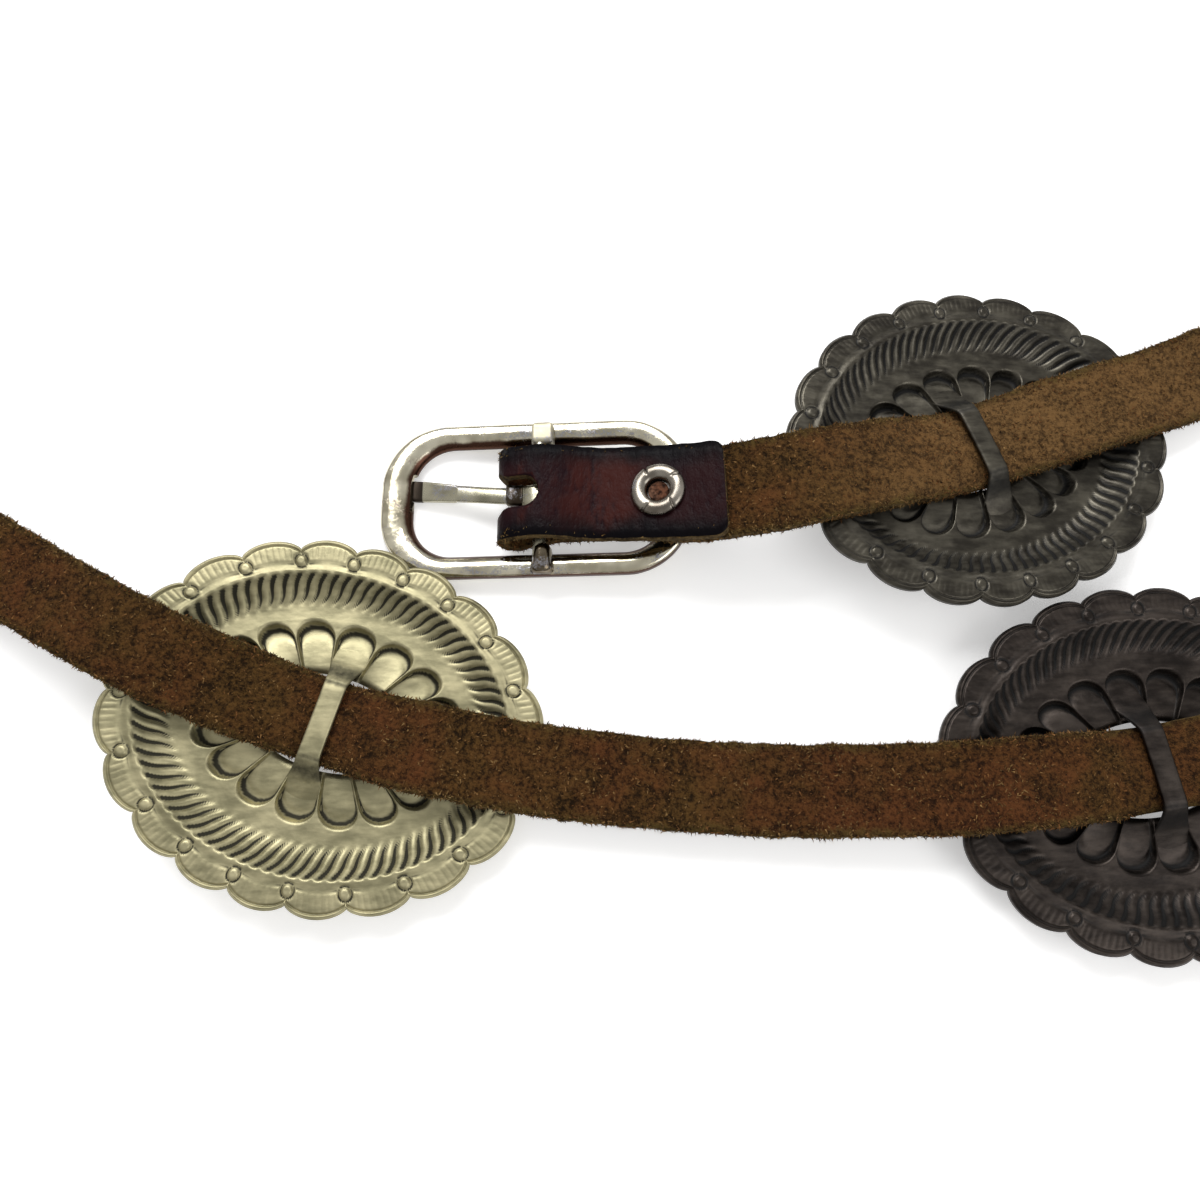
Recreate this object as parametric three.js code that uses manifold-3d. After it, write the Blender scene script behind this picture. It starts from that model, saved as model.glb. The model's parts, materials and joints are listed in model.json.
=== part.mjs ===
// A concho belt of the Southwest kind, lying on its face with the rough side of the leather up.
// Six domed oval conchos hang on one leather strap. Each concho is a stamped sheet with a pierced
// centre, and the bar left across the opening is raised at the back to hold the strap.
// The strap folds round the centre bar of a plated buckle and is closed by one rivet.
// Millimetres, +Z up. The belt rests on the plane z = 0.
import * as THREE from 'three';
import { mergeVertices } from 'three/addons/utils/BufferGeometryUtils.js';
import Module from 'manifold-3d';

const wasm = await Module();
wasm.setup();

// Strap
const STRAP_WIDTH = 20.6;
const STRAP_THICKNESS = 2;
const BAR_SQUEEZE = 2.6; // how much narrower the leather is where a bar grips it
const BAR_CROWN = 2.1; // how far its edges curl down there
const GRIP_REACH = 20; // length of strap that a bar shapes, on each side
const LEAD_LENGTH = 50.8; // crossbar to the first concho
const CONCHO_GAP = 77; // between two neighbouring conchos
const TAIL_LENGTH = 132; // last concho to the tip
const TAIL_DROP = 48; // length in which the tail comes down to the floor
const GAP_SAG = 1.2;
const HOLE_RADIUS = 2;
const HOLE_PITCH = 25.4 / 1.4;
const HOLE_COUNT = 5;
const FIRST_HOLE = 34; // from the tip
const RIM_GAP = 0.8; // leather over the rims
const FLOOR_GAP = 0.2;
const CLEARANCE = 0.3; // between pieces that touch

// Concho
const CONCHO_LENGTH = 86.4;
const CONCHO_WIDTH = 71.4;
const SHEET = 1;
const SCALLOP_COUNT = 20;
const SCALLOP_RISE = 1.9;
const FLANGE_WIDTH = 5; // from a valley between scallops to the wall
const WALL_WIDTH = 5.9;
const WALL_DEPTH = 3.8;
const BAND_WIDTH = 3.5;
const PETAL_COUNT = 18;
const PETAL_DEPTH = 1.8;
const OPENING_HALF_LENGTH = 16;
const OPENING_HALF_WIDTH = 10.6;
const BAR_WIDTH = 4.2;
const BAR_RISE = 0.5; // above the flange

// Buckle
const BUCKLE_LENGTH = 66;
const BUCKLE_WIDTH = 34.6;
const BUCKLE_CORNER = 14;
const FRAME_SIDE = 5; // width of the long sides
const FRAME_END = 5.6; // width of the two ends
const FRAME_THICKNESS = 3.2;
const FRAME_BEVEL = 1.1;
const CROSSBAR_RADIUS = 1.4;
const LUG_LENGTH = 4.4;
const LUG_RISE = 0.4; // above the crossbar
const NOTCH_DEPTH = 1.7; // seat of the tongue in the front of the end bar
const BUCKLE_SHIFT = 0.8; // the strap lies to one side of the middle of the frame
const BUCKLE_PITCH = 4; // degrees, the end over the tongue's tip is down

// Tongue
const TONGUE_WIDTH = 4.3;
const TONGUE_TIP_WIDTH = 5;
const TONGUE_THICKNESS = 1.8;
const TONGUE_SLANT = 0.06; // sideways, over its length
const TONGUE_TIP_THICKNESS = 1.3;
const TONGUE_TIP_LENGTH = 14;
const CURL_WALL = 0.9;

// Fold of the strap round the crossbar
const FOLD_REACH = 8; // crossbar axis to the outside of the fold
const TAB_LENGTH = 38.4; // crossbar axis to the cut end of the folded tab
const TAB_SETTLE = 15; // length in which the two layers come together
const SLOT_WIDTH = 5.6;
const SLOT_BACK_END = -1; // from the crossbar axis, in the folded layer
const SLOT_FRONT_END = 4; // the same, in the layer below

// Rivet through both layers
const RIVET_PLACE = 24.8; // from the crossbar axis
const RIVET_CAP_RADIUS = 5.3;
const RIVET_CAP_THICKNESS = 0.9;
const RIVET_BARREL_RADIUS = 3;
const RIVET_BORE_RADIUS = 2.4;
const RIVET_ROLL_RADIUS = 1.4;

// Plan of the strap from the crossbar to the tip. share is the run's length as a share of the size
// that it follows, turn the change of heading over the run, edge how far the strap stands on its
// edge at the run's end and width the strap's width there as a share. A concho is turned from the
// strap's heading by skew and its far end is lowered by tip. Angles are in degrees. cuts is the
// number of sections in a run between conchos.
const START_HEADING = -0.3;
const ROUTE = [
  { over: 'lead', share: 0.6, turn: -7.9, edge: 0, width: 0.97, skew: 0, tip: 0, cuts: 6 },
  { over: 'lead', share: 0.4, turn: 22.4, edge: 0, width: 0.96, skew: 0, tip: 0, cuts: 4 },
  { over: 'concho', share: 1, turn: 4.9, edge: 0, width: 0.93, skew: 2, tip: 7 },
  { over: 'bend', share: 0.57, turn: 4.6, edge: 60, width: 0.9, skew: 0, tip: 0, cuts: 5 },
  { over: 'bend', share: 1.96, turn: -193.2, edge: 60, width: 0.87, skew: 0, tip: 0, cuts: 14 },
  { over: 'bend', share: 0.48, turn: 3.9, edge: 0, width: 0.85, skew: 0, tip: 0, cuts: 5 },
  { over: 'concho', share: 1, turn: -12.7, edge: 0, width: 0.85, skew: 0, tip: 0 },
  { over: 'gap', share: 1, turn: -10.2, edge: 0, width: 0.85, skew: 0, tip: 0, cuts: 5 },
  { over: 'concho', share: 1, turn: -19.2, edge: 0, width: 0.86, skew: 1, tip: -5 },
  { over: 'gap', share: 0.8, turn: -6, edge: 0, width: 0.88, skew: 0, tip: 0, cuts: 5 },
  { over: 'concho', share: 1, turn: -5, edge: 0, width: 0.9, skew: 0, tip: 0 },
  { over: 'bend', share: 0.45, turn: -2, edge: 60, width: 0.91, skew: 0, tip: 0, cuts: 4 },
  { over: 'bend', share: 1, turn: -102, edge: 60, width: 0.92, skew: 0, tip: 0, cuts: 8 },
  { over: 'bend', share: 0.45, turn: -2, edge: 0, width: 0.92, skew: 0, tip: 0, cuts: 4 },
  { over: 'concho', share: 1, turn: -5, edge: 0, width: 0.92, skew: 0, tip: 0 },
  { over: 'gap', share: 0.8, turn: -12, edge: 0, width: 0.92, skew: 0, tip: 0, cuts: 4 },
  { over: 'concho', share: 1, turn: -5, edge: 0, width: 0.92, skew: 0, tip: 0 },
  { over: 'tail', share: 1, turn: -6, edge: 0, width: 0.92, skew: 0, tip: 0, cuts: 10 },
];
const RUN_SIZE = {
  lead: LEAD_LENGTH,
  concho: CONCHO_LENGTH,
  gap: CONCHO_GAP,
  bend: CONCHO_WIDTH,
  tail: TAIL_LENGTH,
};
const STEP = 1; // along the route
const EASE = 10; // the turning and the standing up are spread over this many steps each way

const radians = THREE.MathUtils.degToRad;
const smooth = (t) => THREE.MathUtils.smoothstep(t, 0, 1);
const mix = THREE.MathUtils.lerp;

// Mesh helpers

function signedVolume(points, faces) {
  let volume = 0;
  for (const [a, b, c] of faces) {
    volume += points[a].dot(new THREE.Vector3().crossVectors(points[b], points[c])) / 6;
  }
  return volume;
}

function closedGeometry(points, faces) {
  const turned = signedVolume(points, faces) < 0;
  const geometry = new THREE.BufferGeometry().setFromPoints(points);
  geometry.setIndex(faces.flatMap(([a, b, c]) => (turned ? [a, c, b] : [a, b, c])));
  return geometry;
}

function toSolid(geometry) {
  const bare = geometry.clone();
  bare.deleteAttribute('normal');
  bare.deleteAttribute('uv');
  const merged = mergeVertices(bare, 1e-4);
  return new wasm.Manifold(
    new wasm.Mesh({
      numProp: 3,
      vertProperties: Float32Array.from(merged.attributes.position.array),
      triVerts: Uint32Array.from(merged.index.array),
    }),
  );
}

function toGeometry(solid) {
  const mesh = solid.getMesh();
  const geometry = new THREE.BufferGeometry();
  geometry.setAttribute('position', new THREE.BufferAttribute(mesh.vertProperties, 3));
  geometry.setIndex(new THREE.BufferAttribute(mesh.triVerts, 1));
  return geometry;
}

// Joins equal closed loops into a body. caps lists the triangles that close an end loop, and a
// body without caps joins its last loop to its first.
function loft(loops, caps) {
  const count = loops[0].length;
  const faces = [];
  const last = caps ? loops.length - 1 : loops.length;
  for (let i = 0; i < last; i++) {
    const here = i * count;
    const next = ((i + 1) % loops.length) * count;
    for (let j = 0; j < count; j++) {
      const k = (j + 1) % count;
      faces.push([here + j, next + j, next + k], [here + j, next + k, here + k]);
    }
  }
  for (const [a, b, c] of caps ?? []) {
    const end = (loops.length - 1) * count;
    faces.push([a, b, c], [end + a, end + c, end + b]);
  }
  return closedGeometry(loops.flat(), faces);
}

function fanCaps(count) {
  return Array.from({ length: count - 2 }, (_, i) => [0, i + 1, i + 2]);
}

// Caps of a thin section whose first half runs along the top and second half back along the bottom.
function stripCaps(count) {
  const faces = [];
  for (let i = 0; i < count / 2 - 1; i++) {
    const across = count - 1 - i;
    faces.push([i, i + 1, across], [i + 1, across - 1, across]);
  }
  return faces;
}

// Concho

const valleyHalfLength = CONCHO_LENGTH / 2 - SCALLOP_RISE;
const valleyHalfWidth = CONCHO_WIDTH / 2 - SCALLOP_RISE;
const flangeHeight = SHEET + PETAL_DEPTH + WALL_DEPTH;
const bandHeight = SHEET + PETAL_DEPTH;

// Angles, counted from the short axis, that cut an ellipse into equal lengths of arc.
function evenAngles(halfLength, halfWidth, count, start = 0) {
  const fine = 720;
  const reached = [0];
  for (let i = 1; i <= fine; i++) {
    const t = ((i - 0.5) / fine) * 2 * Math.PI;
    reached.push(reached[i - 1] + Math.hypot(halfLength * Math.cos(t), halfWidth * Math.sin(t)));
  }
  return Array.from({ length: count }, (_, k) => {
    const wanted = (((k + start) / count + 1) % 1) * reached[fine];
    const i = Math.min(fine - 1, reached.findIndex((r) => r >= wanted - 1e-9));
    const from = Math.max(0, i - 1);
    const part = i === from ? 0 : (wanted - reached[from]) / (reached[i] - reached[from]);
    const angle = ((from + part) / fine) * 2 * Math.PI;
    return angle + (k + start < 0 ? -2 * Math.PI : 0);
  });
}

function ellipsePoint(halfLength, halfWidth, angle, height) {
  return new THREE.Vector3(halfLength * Math.sin(angle), halfWidth * Math.cos(angle), height);
}

// Points of the scalloped edge: a valley and two points on each arc.
function scallopEdge() {
  const perScallop = 3;
  const angles = evenAngles(valleyHalfLength, valleyHalfWidth, SCALLOP_COUNT * perScallop, -1.5);
  return angles.map((angle, i) => {
    const along = (i % perScallop) / perScallop;
    const rise = SCALLOP_RISE * (1 - (2 * along - 1) ** 2);
    const point = ellipsePoint(valleyHalfLength, valleyHalfWidth, angle, flangeHeight);
    const outward = ellipsePoint(1 / valleyHalfLength, 1 / valleyHalfWidth, angle, 0).normalize();
    return { angle, point: point.addScaledVector(outward, rise) };
  });
}

function plainRing(inward, height, count) {
  const halfLength = valleyHalfLength - inward;
  const halfWidth = valleyHalfWidth - inward;
  return evenAngles(halfLength, halfWidth, count).map((angle) => ({
    angle,
    point: ellipsePoint(halfLength, halfWidth, angle, height),
  }));
}

// A ring through the petals. part is 0 at their outer ends and 1 at the opening, and the middle of
// each petal lies deeper than the ridges between petals by sink.
function petalRing(part, sink) {
  const inward = FLANGE_WIDTH + WALL_WIDTH + BAND_WIDTH;
  const halfLength = mix(valleyHalfLength - inward, OPENING_HALF_LENGTH, part);
  const halfWidth = mix(valleyHalfWidth - inward, OPENING_HALF_WIDTH, part);
  return evenAngles(halfLength, halfWidth, PETAL_COUNT * 2).map((angle, i) => ({
    angle,
    point: ellipsePoint(halfLength, halfWidth, angle, bandHeight - (i % 2 === 0 ? sink : 0)),
  }));
}

// Triangles between two rings of any counts, both in order of angle.
function stitch(outer, outerStart, inner, innerStart) {
  const faces = [];
  let i = 0;
  let j = 0;
  const angleAt = (ring, k) => ring[k % ring.length].angle + Math.floor(k / ring.length) * 2 * Math.PI;
  while (i < outer.length || j < inner.length) {
    const a = outerStart + (i % outer.length);
    const b = innerStart + (j % inner.length);
    const outerNext = i < outer.length ? angleAt(outer, i + 1) + angleAt(outer, i) : Infinity;
    const innerNext = j < inner.length ? angleAt(inner, j + 1) + angleAt(inner, j) : Infinity;
    if (outerNext <= innerNext) {
      faces.push([a, outerStart + ((i + 1) % outer.length), b]);
      i += 1;
    } else {
      faces.push([a, innerStart + ((j + 1) % inner.length), b]);
      j += 1;
    }
  }
  return faces;
}

function conchoPlate() {
  const wallStart = FLANGE_WIDTH;
  const wallEnd = FLANGE_WIDTH + WALL_WIDTH;
  const rings = [
    scallopEdge(),
    plainRing(wallStart, flangeHeight, 40),
    plainRing(wallEnd, bandHeight, 40),
    petalRing(0, 0),
    petalRing(0.25, PETAL_DEPTH),
    petalRing(1, PETAL_DEPTH * 0.25),
  ];
  const points = [];
  const faces = [];
  const starts = { back: [], front: [] };
  for (const [side, drop] of [['back', 0], ['front', SHEET]]) {
    for (const ring of rings) {
      starts[side].push(points.length);
      points.push(...ring.map(({ point }) => point.clone().setZ(point.z - drop)));
    }
  }
  for (let r = 0; r < rings.length - 1; r++) {
    const back = stitch(rings[r], starts.back[r], rings[r + 1], starts.back[r + 1]);
    const front = stitch(rings[r], starts.front[r], rings[r + 1], starts.front[r + 1]);
    faces.push(...back, ...front.map(([a, b, c]) => [a, c, b]));
  }
  for (const [r, outside] of [[0, true], [rings.length - 1, false]]) {
    const count = rings[r].length;
    for (let i = 0; i < count; i++) {
      const k = (i + 1) % count;
      const [b0, b1] = [starts.back[r] + i, starts.back[r] + k];
      const [f0, f1] = [starts.front[r] + i, starts.front[r] + k];
      const wall = [[b0, f0, b1], [b1, f0, f1]];
      faces.push(...(outside ? wall : wall.map(([a, b, c]) => [a, c, b])));
    }
  }
  return closedGeometry(points, faces);
}

// The raised bar, a bent strip whose feet run into the sheet. reach is the place across the concho.
const barTop = flangeHeight + BAR_RISE;
const BAR_SECTIONS = [
  { reach: OPENING_HALF_WIDTH + 2, width: BAR_WIDTH * 1.5, top: bandHeight - 0.5 * PETAL_DEPTH, thick: 0.7 },
  { reach: OPENING_HALF_WIDTH - 0.2, width: BAR_WIDTH * 1.15, top: bandHeight + 1.3, thick: 1 },
  { reach: OPENING_HALF_WIDTH - 3.4, width: BAR_WIDTH, top: barTop, thick: 1 },
];

function conchoBar() {
  const sections = [...BAR_SECTIONS, ...BAR_SECTIONS.toReversed().map((s) => ({ ...s, reach: -s.reach }))];
  const loops = sections.map(({ reach, width, top, thick }) => [
    new THREE.Vector3(-width / 2, reach, top),
    new THREE.Vector3(width / 2, reach, top),
    new THREE.Vector3(width / 2, reach, top - thick * SHEET),
    new THREE.Vector3(-width / 2, reach, top - thick * SHEET),
  ]);
  return loft(loops, fanCaps(4));
}

function makeConcho() {
  return toGeometry(toSolid(conchoPlate()).add(toSolid(conchoBar())));
}

// Route of the strap

// The mean of the values within EASE steps of each place.
function eased(values) {
  return values.map((_, i) => {
    let sum = 0;
    for (let k = i - EASE; k <= i + EASE; k++) sum += values[Math.min(Math.max(k, 0), values.length - 1)];
    return sum / (2 * EASE + 1);
  });
}

function traceRoute() {
  const stations = [];
  const steps = [];
  let from = { start: 0, edge: 0, width: 1 };
  for (const row of ROUTE) {
    const length = RUN_SIZE[row.over] * row.share;
    const count = Math.ceil(length / STEP);
    for (let i = 0; i < count; i++) {
      const t = (i + 0.5) / count;
      const edge = mix(from.edge, row.edge, smooth(t));
      steps.push({ ds: length / count, turn: row.turn / count, edge, width: mix(from.width, row.width, t) });
    }
    stations.push({ ...row, start: from.start, end: from.start + length });
    from = { start: from.start + length, edge: row.edge, width: row.width };
  }
  const turns = eased(steps.map(({ turn }) => radians(turn)));
  const rolls = eased(steps.map(({ edge }) => radians(edge)));
  const points = [];
  let [s, x, y, heading] = [0, 0, 0, radians(START_HEADING)];
  steps.forEach(({ ds, width }, i) => {
    points.push({ s, x, y, heading, roll: rolls[i], width });
    x += ds * Math.cos(heading + turns[i] / 2);
    y += ds * Math.sin(heading + turns[i] / 2);
    heading += turns[i];
    s += ds;
  });
  points.push({ s, x, y, heading, roll: rolls.at(-1), width: from.width });
  return { points, stations, length: s };
}

const route = traceRoute();

function onRoute(s) {
  const { points } = route;
  const clamped = Math.min(Math.max(s, 0), route.length);
  let i = Math.min(points.length - 2, Math.floor(clamped / STEP));
  while (i > 0 && points[i].s > clamped) i -= 1;
  while (i < points.length - 2 && points[i + 1].s < clamped) i += 1;
  const t = (clamped - points[i].s) / (points[i + 1].s - points[i].s);
  const beyond = s - clamped;
  const heading = mix(points[i].heading, points[i + 1].heading, t);
  return {
    x: mix(points[i].x, points[i + 1].x, t) + beyond * Math.cos(heading),
    y: mix(points[i].y, points[i + 1].y, t) + beyond * Math.sin(heading),
    heading,
    roll: mix(points[i].roll, points[i + 1].roll, t),
    width: mix(points[i].width, points[i + 1].width, t) * STRAP_WIDTH,
  };
}

// Heights between knots, without overshoot.
function heightCurve(knots) {
  const slope = (i) => (knots[i + 1].z - knots[i].z) / (knots[i + 1].s - knots[i].s);
  const slopes = knots.map((_, i) => {
    if (i === 0) return slope(0);
    if (i === knots.length - 1) return slope(i - 1);
    const [before, after] = [slope(i - 1), slope(i)];
    return before * after <= 0 ? 0 : (2 * before * after) / (before + after);
  });
  return (s) => {
    let i = 0;
    while (i < knots.length - 2 && knots[i + 1].s < s) i += 1;
    const width = knots[i + 1].s - knots[i].s;
    const t = (s - knots[i].s) / width;
    const [a, b] = [knots[i].z, knots[i + 1].z];
    const [ma, mb] = [slopes[i] * width, slopes[i + 1] * width];
    if (t < 0) return a + ma * t;
    return a * (1 - t) ** 2 * (1 + 2 * t) + ma * t * (1 - t) ** 2 + b * t * t * (3 - 2 * t) - mb * t * t * (1 - t);
  };
}

// Conchos on the route: each lies on its own face, and a tipped one is set down on its low side.
const conchoGeometry = makeConcho();

function conchoPlaces() {
  return route.stations
    .filter((row) => row.over === 'concho')
    .map((row) => {
      const bar = (row.start + row.end) / 2;
      const { x, y, heading } = onRoute(bar);
      const place = new THREE.Matrix4()
        .makeRotationZ(heading + radians(row.skew))
        .multiply(new THREE.Matrix4().makeRotationY(radians(row.tip)));
      const turned = conchoGeometry.clone().applyMatrix4(place);
      const z = -new THREE.Box3().setFromBufferAttribute(turned.attributes.position).min.z;
      return { ...row, bar, z, place: place.setPosition(x, y, z) };
    });
}

const conchos = conchoPlaces();

// Buckle's own frame: its origin is the crossbar's axis, x points along the strap, z to the back.
const frontLayer = -(CROSSBAR_RADIUS + CLEARANCE + STRAP_THICKNESS / 2);
const curlRadius = CROSSBAR_RADIUS + CLEARANCE + CURL_WALL;
const backLayer = curlRadius + CLEARANCE + STRAP_THICKNESS / 2;
const frameFront = frontLayer - STRAP_THICKNESS / 2 - FLOOR_GAP;
const frameBack = frameFront + FRAME_THICKNESS;
const pitch = radians(BUCKLE_PITCH);
const crossbarHeight = (BUCKLE_LENGTH / 2) * Math.sin(pitch) - frameFront * Math.cos(pitch);

function buckleHeight(along, up) {
  return crossbarHeight + along * Math.sin(pitch) + up * Math.cos(pitch);
}

const layerPitch = STRAP_THICKNESS + CLEARANCE; // between the middles of two layers

// Height of the lying strap's middle when it stands on its edge by the roll at s.
function standingHeight(s) {
  const { roll, width } = onRoute(s);
  return FLOOR_GAP + (width / 2) * Math.sin(roll) + (STRAP_THICKNESS / 2) * Math.cos(roll);
}

function strapKnots() {
  const half = STRAP_THICKNESS / 2;
  const overFrame = frameBack + CLEARANCE * 2 + RIVET_CAP_THICKNESS + half;
  const knots = [
    { s: 0, z: buckleHeight(0, frontLayer) },
    { s: RIVET_PLACE, z: buckleHeight(RIVET_PLACE, overFrame) },
  ];
  for (const concho of conchos) {
    const tip = radians(concho.tip);
    const inner = valleyHalfLength - FLANGE_WIDTH;
    const outer = CONCHO_LENGTH / 2;
    const flange = (along) =>
      concho.z + flangeHeight * Math.cos(tip) - along * Math.sin(tip) + RIM_GAP + half;
    const gripped = concho.z + (barTop - SHEET) * Math.cos(tip) - CLEARANCE - half;
    knots.push(
      { s: concho.bar - outer, z: flange(-outer) },
      { s: concho.bar - inner, z: flange(-inner) },
      { s: concho.bar, z: gripped },
      { s: concho.bar + inner, z: flange(inner) },
      { s: concho.bar + outer, z: flange(outer) },
    );
  }
  const rims = [...knots];
  for (const { over, start, end, edge } of route.stations) {
    if (over === 'gap') {
      const before = rims.findLast((knot) => knot.s < start + STEP);
      const after = rims.find((knot) => knot.s > end - STEP);
      knots.push({ s: mix(start, end, 0.5), z: (before.z + after.z) / 2 - GAP_SAG });
    }
    if (over === 'bend') {
      const s = mix(start, end, 0.5);
      knots.push({ s, z: standingHeight(s) });
      if (edge > 0) knots.push({ s: end, z: standingHeight(end) });
    }
    if (over === 'tail') {
      for (const s of [start + TAIL_DROP, end]) knots.push({ s, z: half + FLOOR_GAP });
    }
  }
  return knots.toSorted((a, b) => a.s - b.s);
}

const hungHeight = heightCurve(strapKnots());
const strapHeight = (s) => Math.max(hungHeight(s), standingHeight(s));

// Position and directions of the strap's middle at s: along it, across it to the left, and up.
function strapFrame(s) {
  const { x, y, heading, roll, width } = onRoute(s);
  const slope = strapHeight(s + 0.5) - strapHeight(s - 0.5);
  const along = new THREE.Vector3(Math.cos(heading), Math.sin(heading), slope).normalize();
  const left = new THREE.Vector3(-Math.sin(heading), Math.cos(heading), 0);
  const up = new THREE.Vector3().crossVectors(along, left);
  const across = left.clone().multiplyScalar(Math.cos(roll)).addScaledVector(up, Math.sin(roll));
  const normal = up.clone().multiplyScalar(Math.cos(roll)).addScaledVector(left, -Math.sin(roll));
  return { centre: new THREE.Vector3(x, y, strapHeight(s)), along, across, normal, width };
}

function grip(s) {
  return Math.max(...conchos.map(({ bar }) => 1 - smooth(Math.abs(s - bar) / GRIP_REACH)));
}

// One section of leather: columns of points along the top, then back along the bottom.
const COLUMNS = [-1, -0.4, 0.4, 1];

function leatherSection({ centre, across, normal }, halfWidth, crown) {
  const at = (column, side) =>
    centre
      .clone()
      .addScaledVector(across, column * halfWidth)
      .addScaledVector(normal, (side * STRAP_THICKNESS) / 2 - crown * column * column);
  return [...COLUMNS.map((c) => at(c, 1)), ...COLUMNS.toReversed().map((c) => at(c, -1))];
}

// The fold, from the cut end of the tab to the layer under the crossbar. The rough side of the
// leather is inside the fold, so it is the top of the lower layer and the bottom of the tab.
function foldSections() {
  const sections = [];
  const tabCuts = 8;
  const foldCuts = 8;
  for (let i = 0; i < tabCuts; i++) {
    const s = mix(TAB_LENGTH, 0, i / (tabCuts - 1));
    const frame = strapFrame(s);
    const lift = mix(backLayer - frontLayer, layerPitch, smooth(s / TAB_SETTLE));
    frame.centre.addScaledVector(frame.normal, lift);
    frame.normal.negate();
    sections.push(leatherSection(frame, STRAP_WIDTH / 2, 0));
  }
  const { centre, along, across, normal } = strapFrame(0);
  const radius = (backLayer - frontLayer) / 2;
  const foldCentre = centre
    .clone()
    .addScaledVector(normal, radius)
    .addScaledVector(along, radius + STRAP_THICKNESS / 2 - FOLD_REACH);
  for (let i = 0; i <= foldCuts; i++) {
    const angle = mix(Math.PI / 2, (3 * Math.PI) / 2, i / foldCuts);
    const out = along.clone().multiplyScalar(Math.cos(angle)).addScaledVector(normal, Math.sin(angle));
    const middle = foldCentre.clone().addScaledVector(out, radius);
    sections.push(leatherSection({ centre: middle, across, normal: out.negate() }, STRAP_WIDTH / 2, 0));
  }
  return sections;
}

// Half the width of the leather at a distance from its round tip.
const tipRadius = onRoute(route.length).width / 2;

function tipHalfWidth(fromTip) {
  return Math.sqrt(tipRadius ** 2 - (tipRadius - fromTip) ** 2);
}

// Places of the sections in a plain run, and in a run over a concho, where they follow its rims and
// the ends and the middle of the bar's grip.
function evenly({ start, end, cuts }) {
  return Array.from({ length: cuts }, (_, i) => mix(start, end, i / cuts));
}

function overConcho({ start, end }) {
  const middle = (start + end) / 2;
  const inner = valleyHalfLength - FLANGE_WIDTH;
  const places = [-inner, -GRIP_REACH, -BAR_WIDTH, BAR_WIDTH, GRIP_REACH, inner];
  return [start, ...places.map((place) => middle + place)];
}

function strapSections() {
  const sections = [];
  const rounded = route.length - tipRadius;
  for (const row of route.stations) {
    for (const s of row.over === 'concho' ? overConcho(row) : evenly(row)) {
      if (s >= rounded) break;
      const hold = grip(s);
      const frame = strapFrame(s);
      sections.push(leatherSection(frame, (frame.width - BAR_SQUEEZE * hold) / 2, BAR_CROWN * hold));
    }
  }
  for (const share of [1, 0.6, 0.3, 0.1, 0.01]) {
    const fromTip = tipRadius * share;
    sections.push(leatherSection(strapFrame(route.length - fromTip), tipHalfWidth(fromTip), 0));
  }
  return sections;
}

// A cutter with round ends that runs across the leather, in the buckle's frame.
function slotCutter(from, to, low, high) {
  const half = SLOT_WIDTH / 2;
  const shape = new THREE.Shape();
  shape.moveTo(from, -half);
  shape.lineTo(to - half, -half);
  shape.absarc(to - half, 0, half, -Math.PI / 2, Math.PI / 2, false);
  shape.lineTo(from, half);
  shape.closePath();
  const prism = new THREE.ExtrudeGeometry(shape, { depth: high - low, bevelEnabled: false, curveSegments: 8 });
  return prism.translate(0, 0, low);
}

function throughCutter(s, radius, reach) {
  const { centre, normal } = strapFrame(s);
  const cutter = new THREE.CylinderGeometry(radius, radius, reach * 2, 16);
  const turned = new THREE.Quaternion().setFromUnitVectors(new THREE.Vector3(0, 1, 0), normal);
  return cutter.applyQuaternion(turned).translate(centre.x, centre.y, centre.z);
}

const buckleFrame = new THREE.Matrix4()
  .makeRotationZ(radians(START_HEADING))
  .multiply(new THREE.Matrix4().makeRotationY(-pitch))
  .setPosition(0, 0, crossbarHeight);

function makeStrap() {
  let solid = toSolid(loft([...foldSections(), ...strapSections()], stripCaps(COLUMNS.length * 2)));
  const far = FOLD_REACH * 2;
  const cutters = [
    slotCutter(-far, SLOT_BACK_END, -far, far).applyMatrix4(buckleFrame),
    slotCutter(-far, SLOT_FRONT_END, -far, 0).applyMatrix4(buckleFrame),
    throughCutter(RIVET_PLACE, RIVET_BARREL_RADIUS + CLEARANCE, STRAP_THICKNESS * 3),
  ];
  for (let i = 0; i < HOLE_COUNT; i++) {
    const place = route.length - FIRST_HOLE - i * HOLE_PITCH;
    cutters.push(throughCutter(place, HOLE_RADIUS, STRAP_THICKNESS * 2));
  }
  for (const cutter of cutters) solid = solid.subtract(toSolid(cutter));
  return toGeometry(solid);
}

// Buckle

const tongueSeat = frameFront + NOTCH_DEPTH - CLEARANCE;
const tongueReach = BUCKLE_LENGTH / 2 - 1.5;

// Points round a rectangle with round corners, at an inset from the buckle's outline.
function frameOutline(insetEnd, insetSide, height) {
  const cornerCuts = 6;
  const radius = BUCKLE_CORNER - (insetEnd + insetSide) / 2;
  const middleX = BUCKLE_LENGTH / 2 - insetEnd - radius;
  const middleY = BUCKLE_WIDTH / 2 - insetSide - radius;
  const corners = [[1, 1], [-1, 1], [-1, -1], [1, -1]];
  return corners.flatMap(([sx, sy], corner) =>
    Array.from({ length: cornerCuts + 1 }, (_, i) => {
      const angle = (corner + i / cornerCuts) * (Math.PI / 2);
      return new THREE.Vector3(
        sx * middleX + radius * Math.cos(angle),
        sy * middleY + radius * Math.sin(angle) + BUCKLE_SHIFT,
        height,
      );
    }),
  );
}

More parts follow.
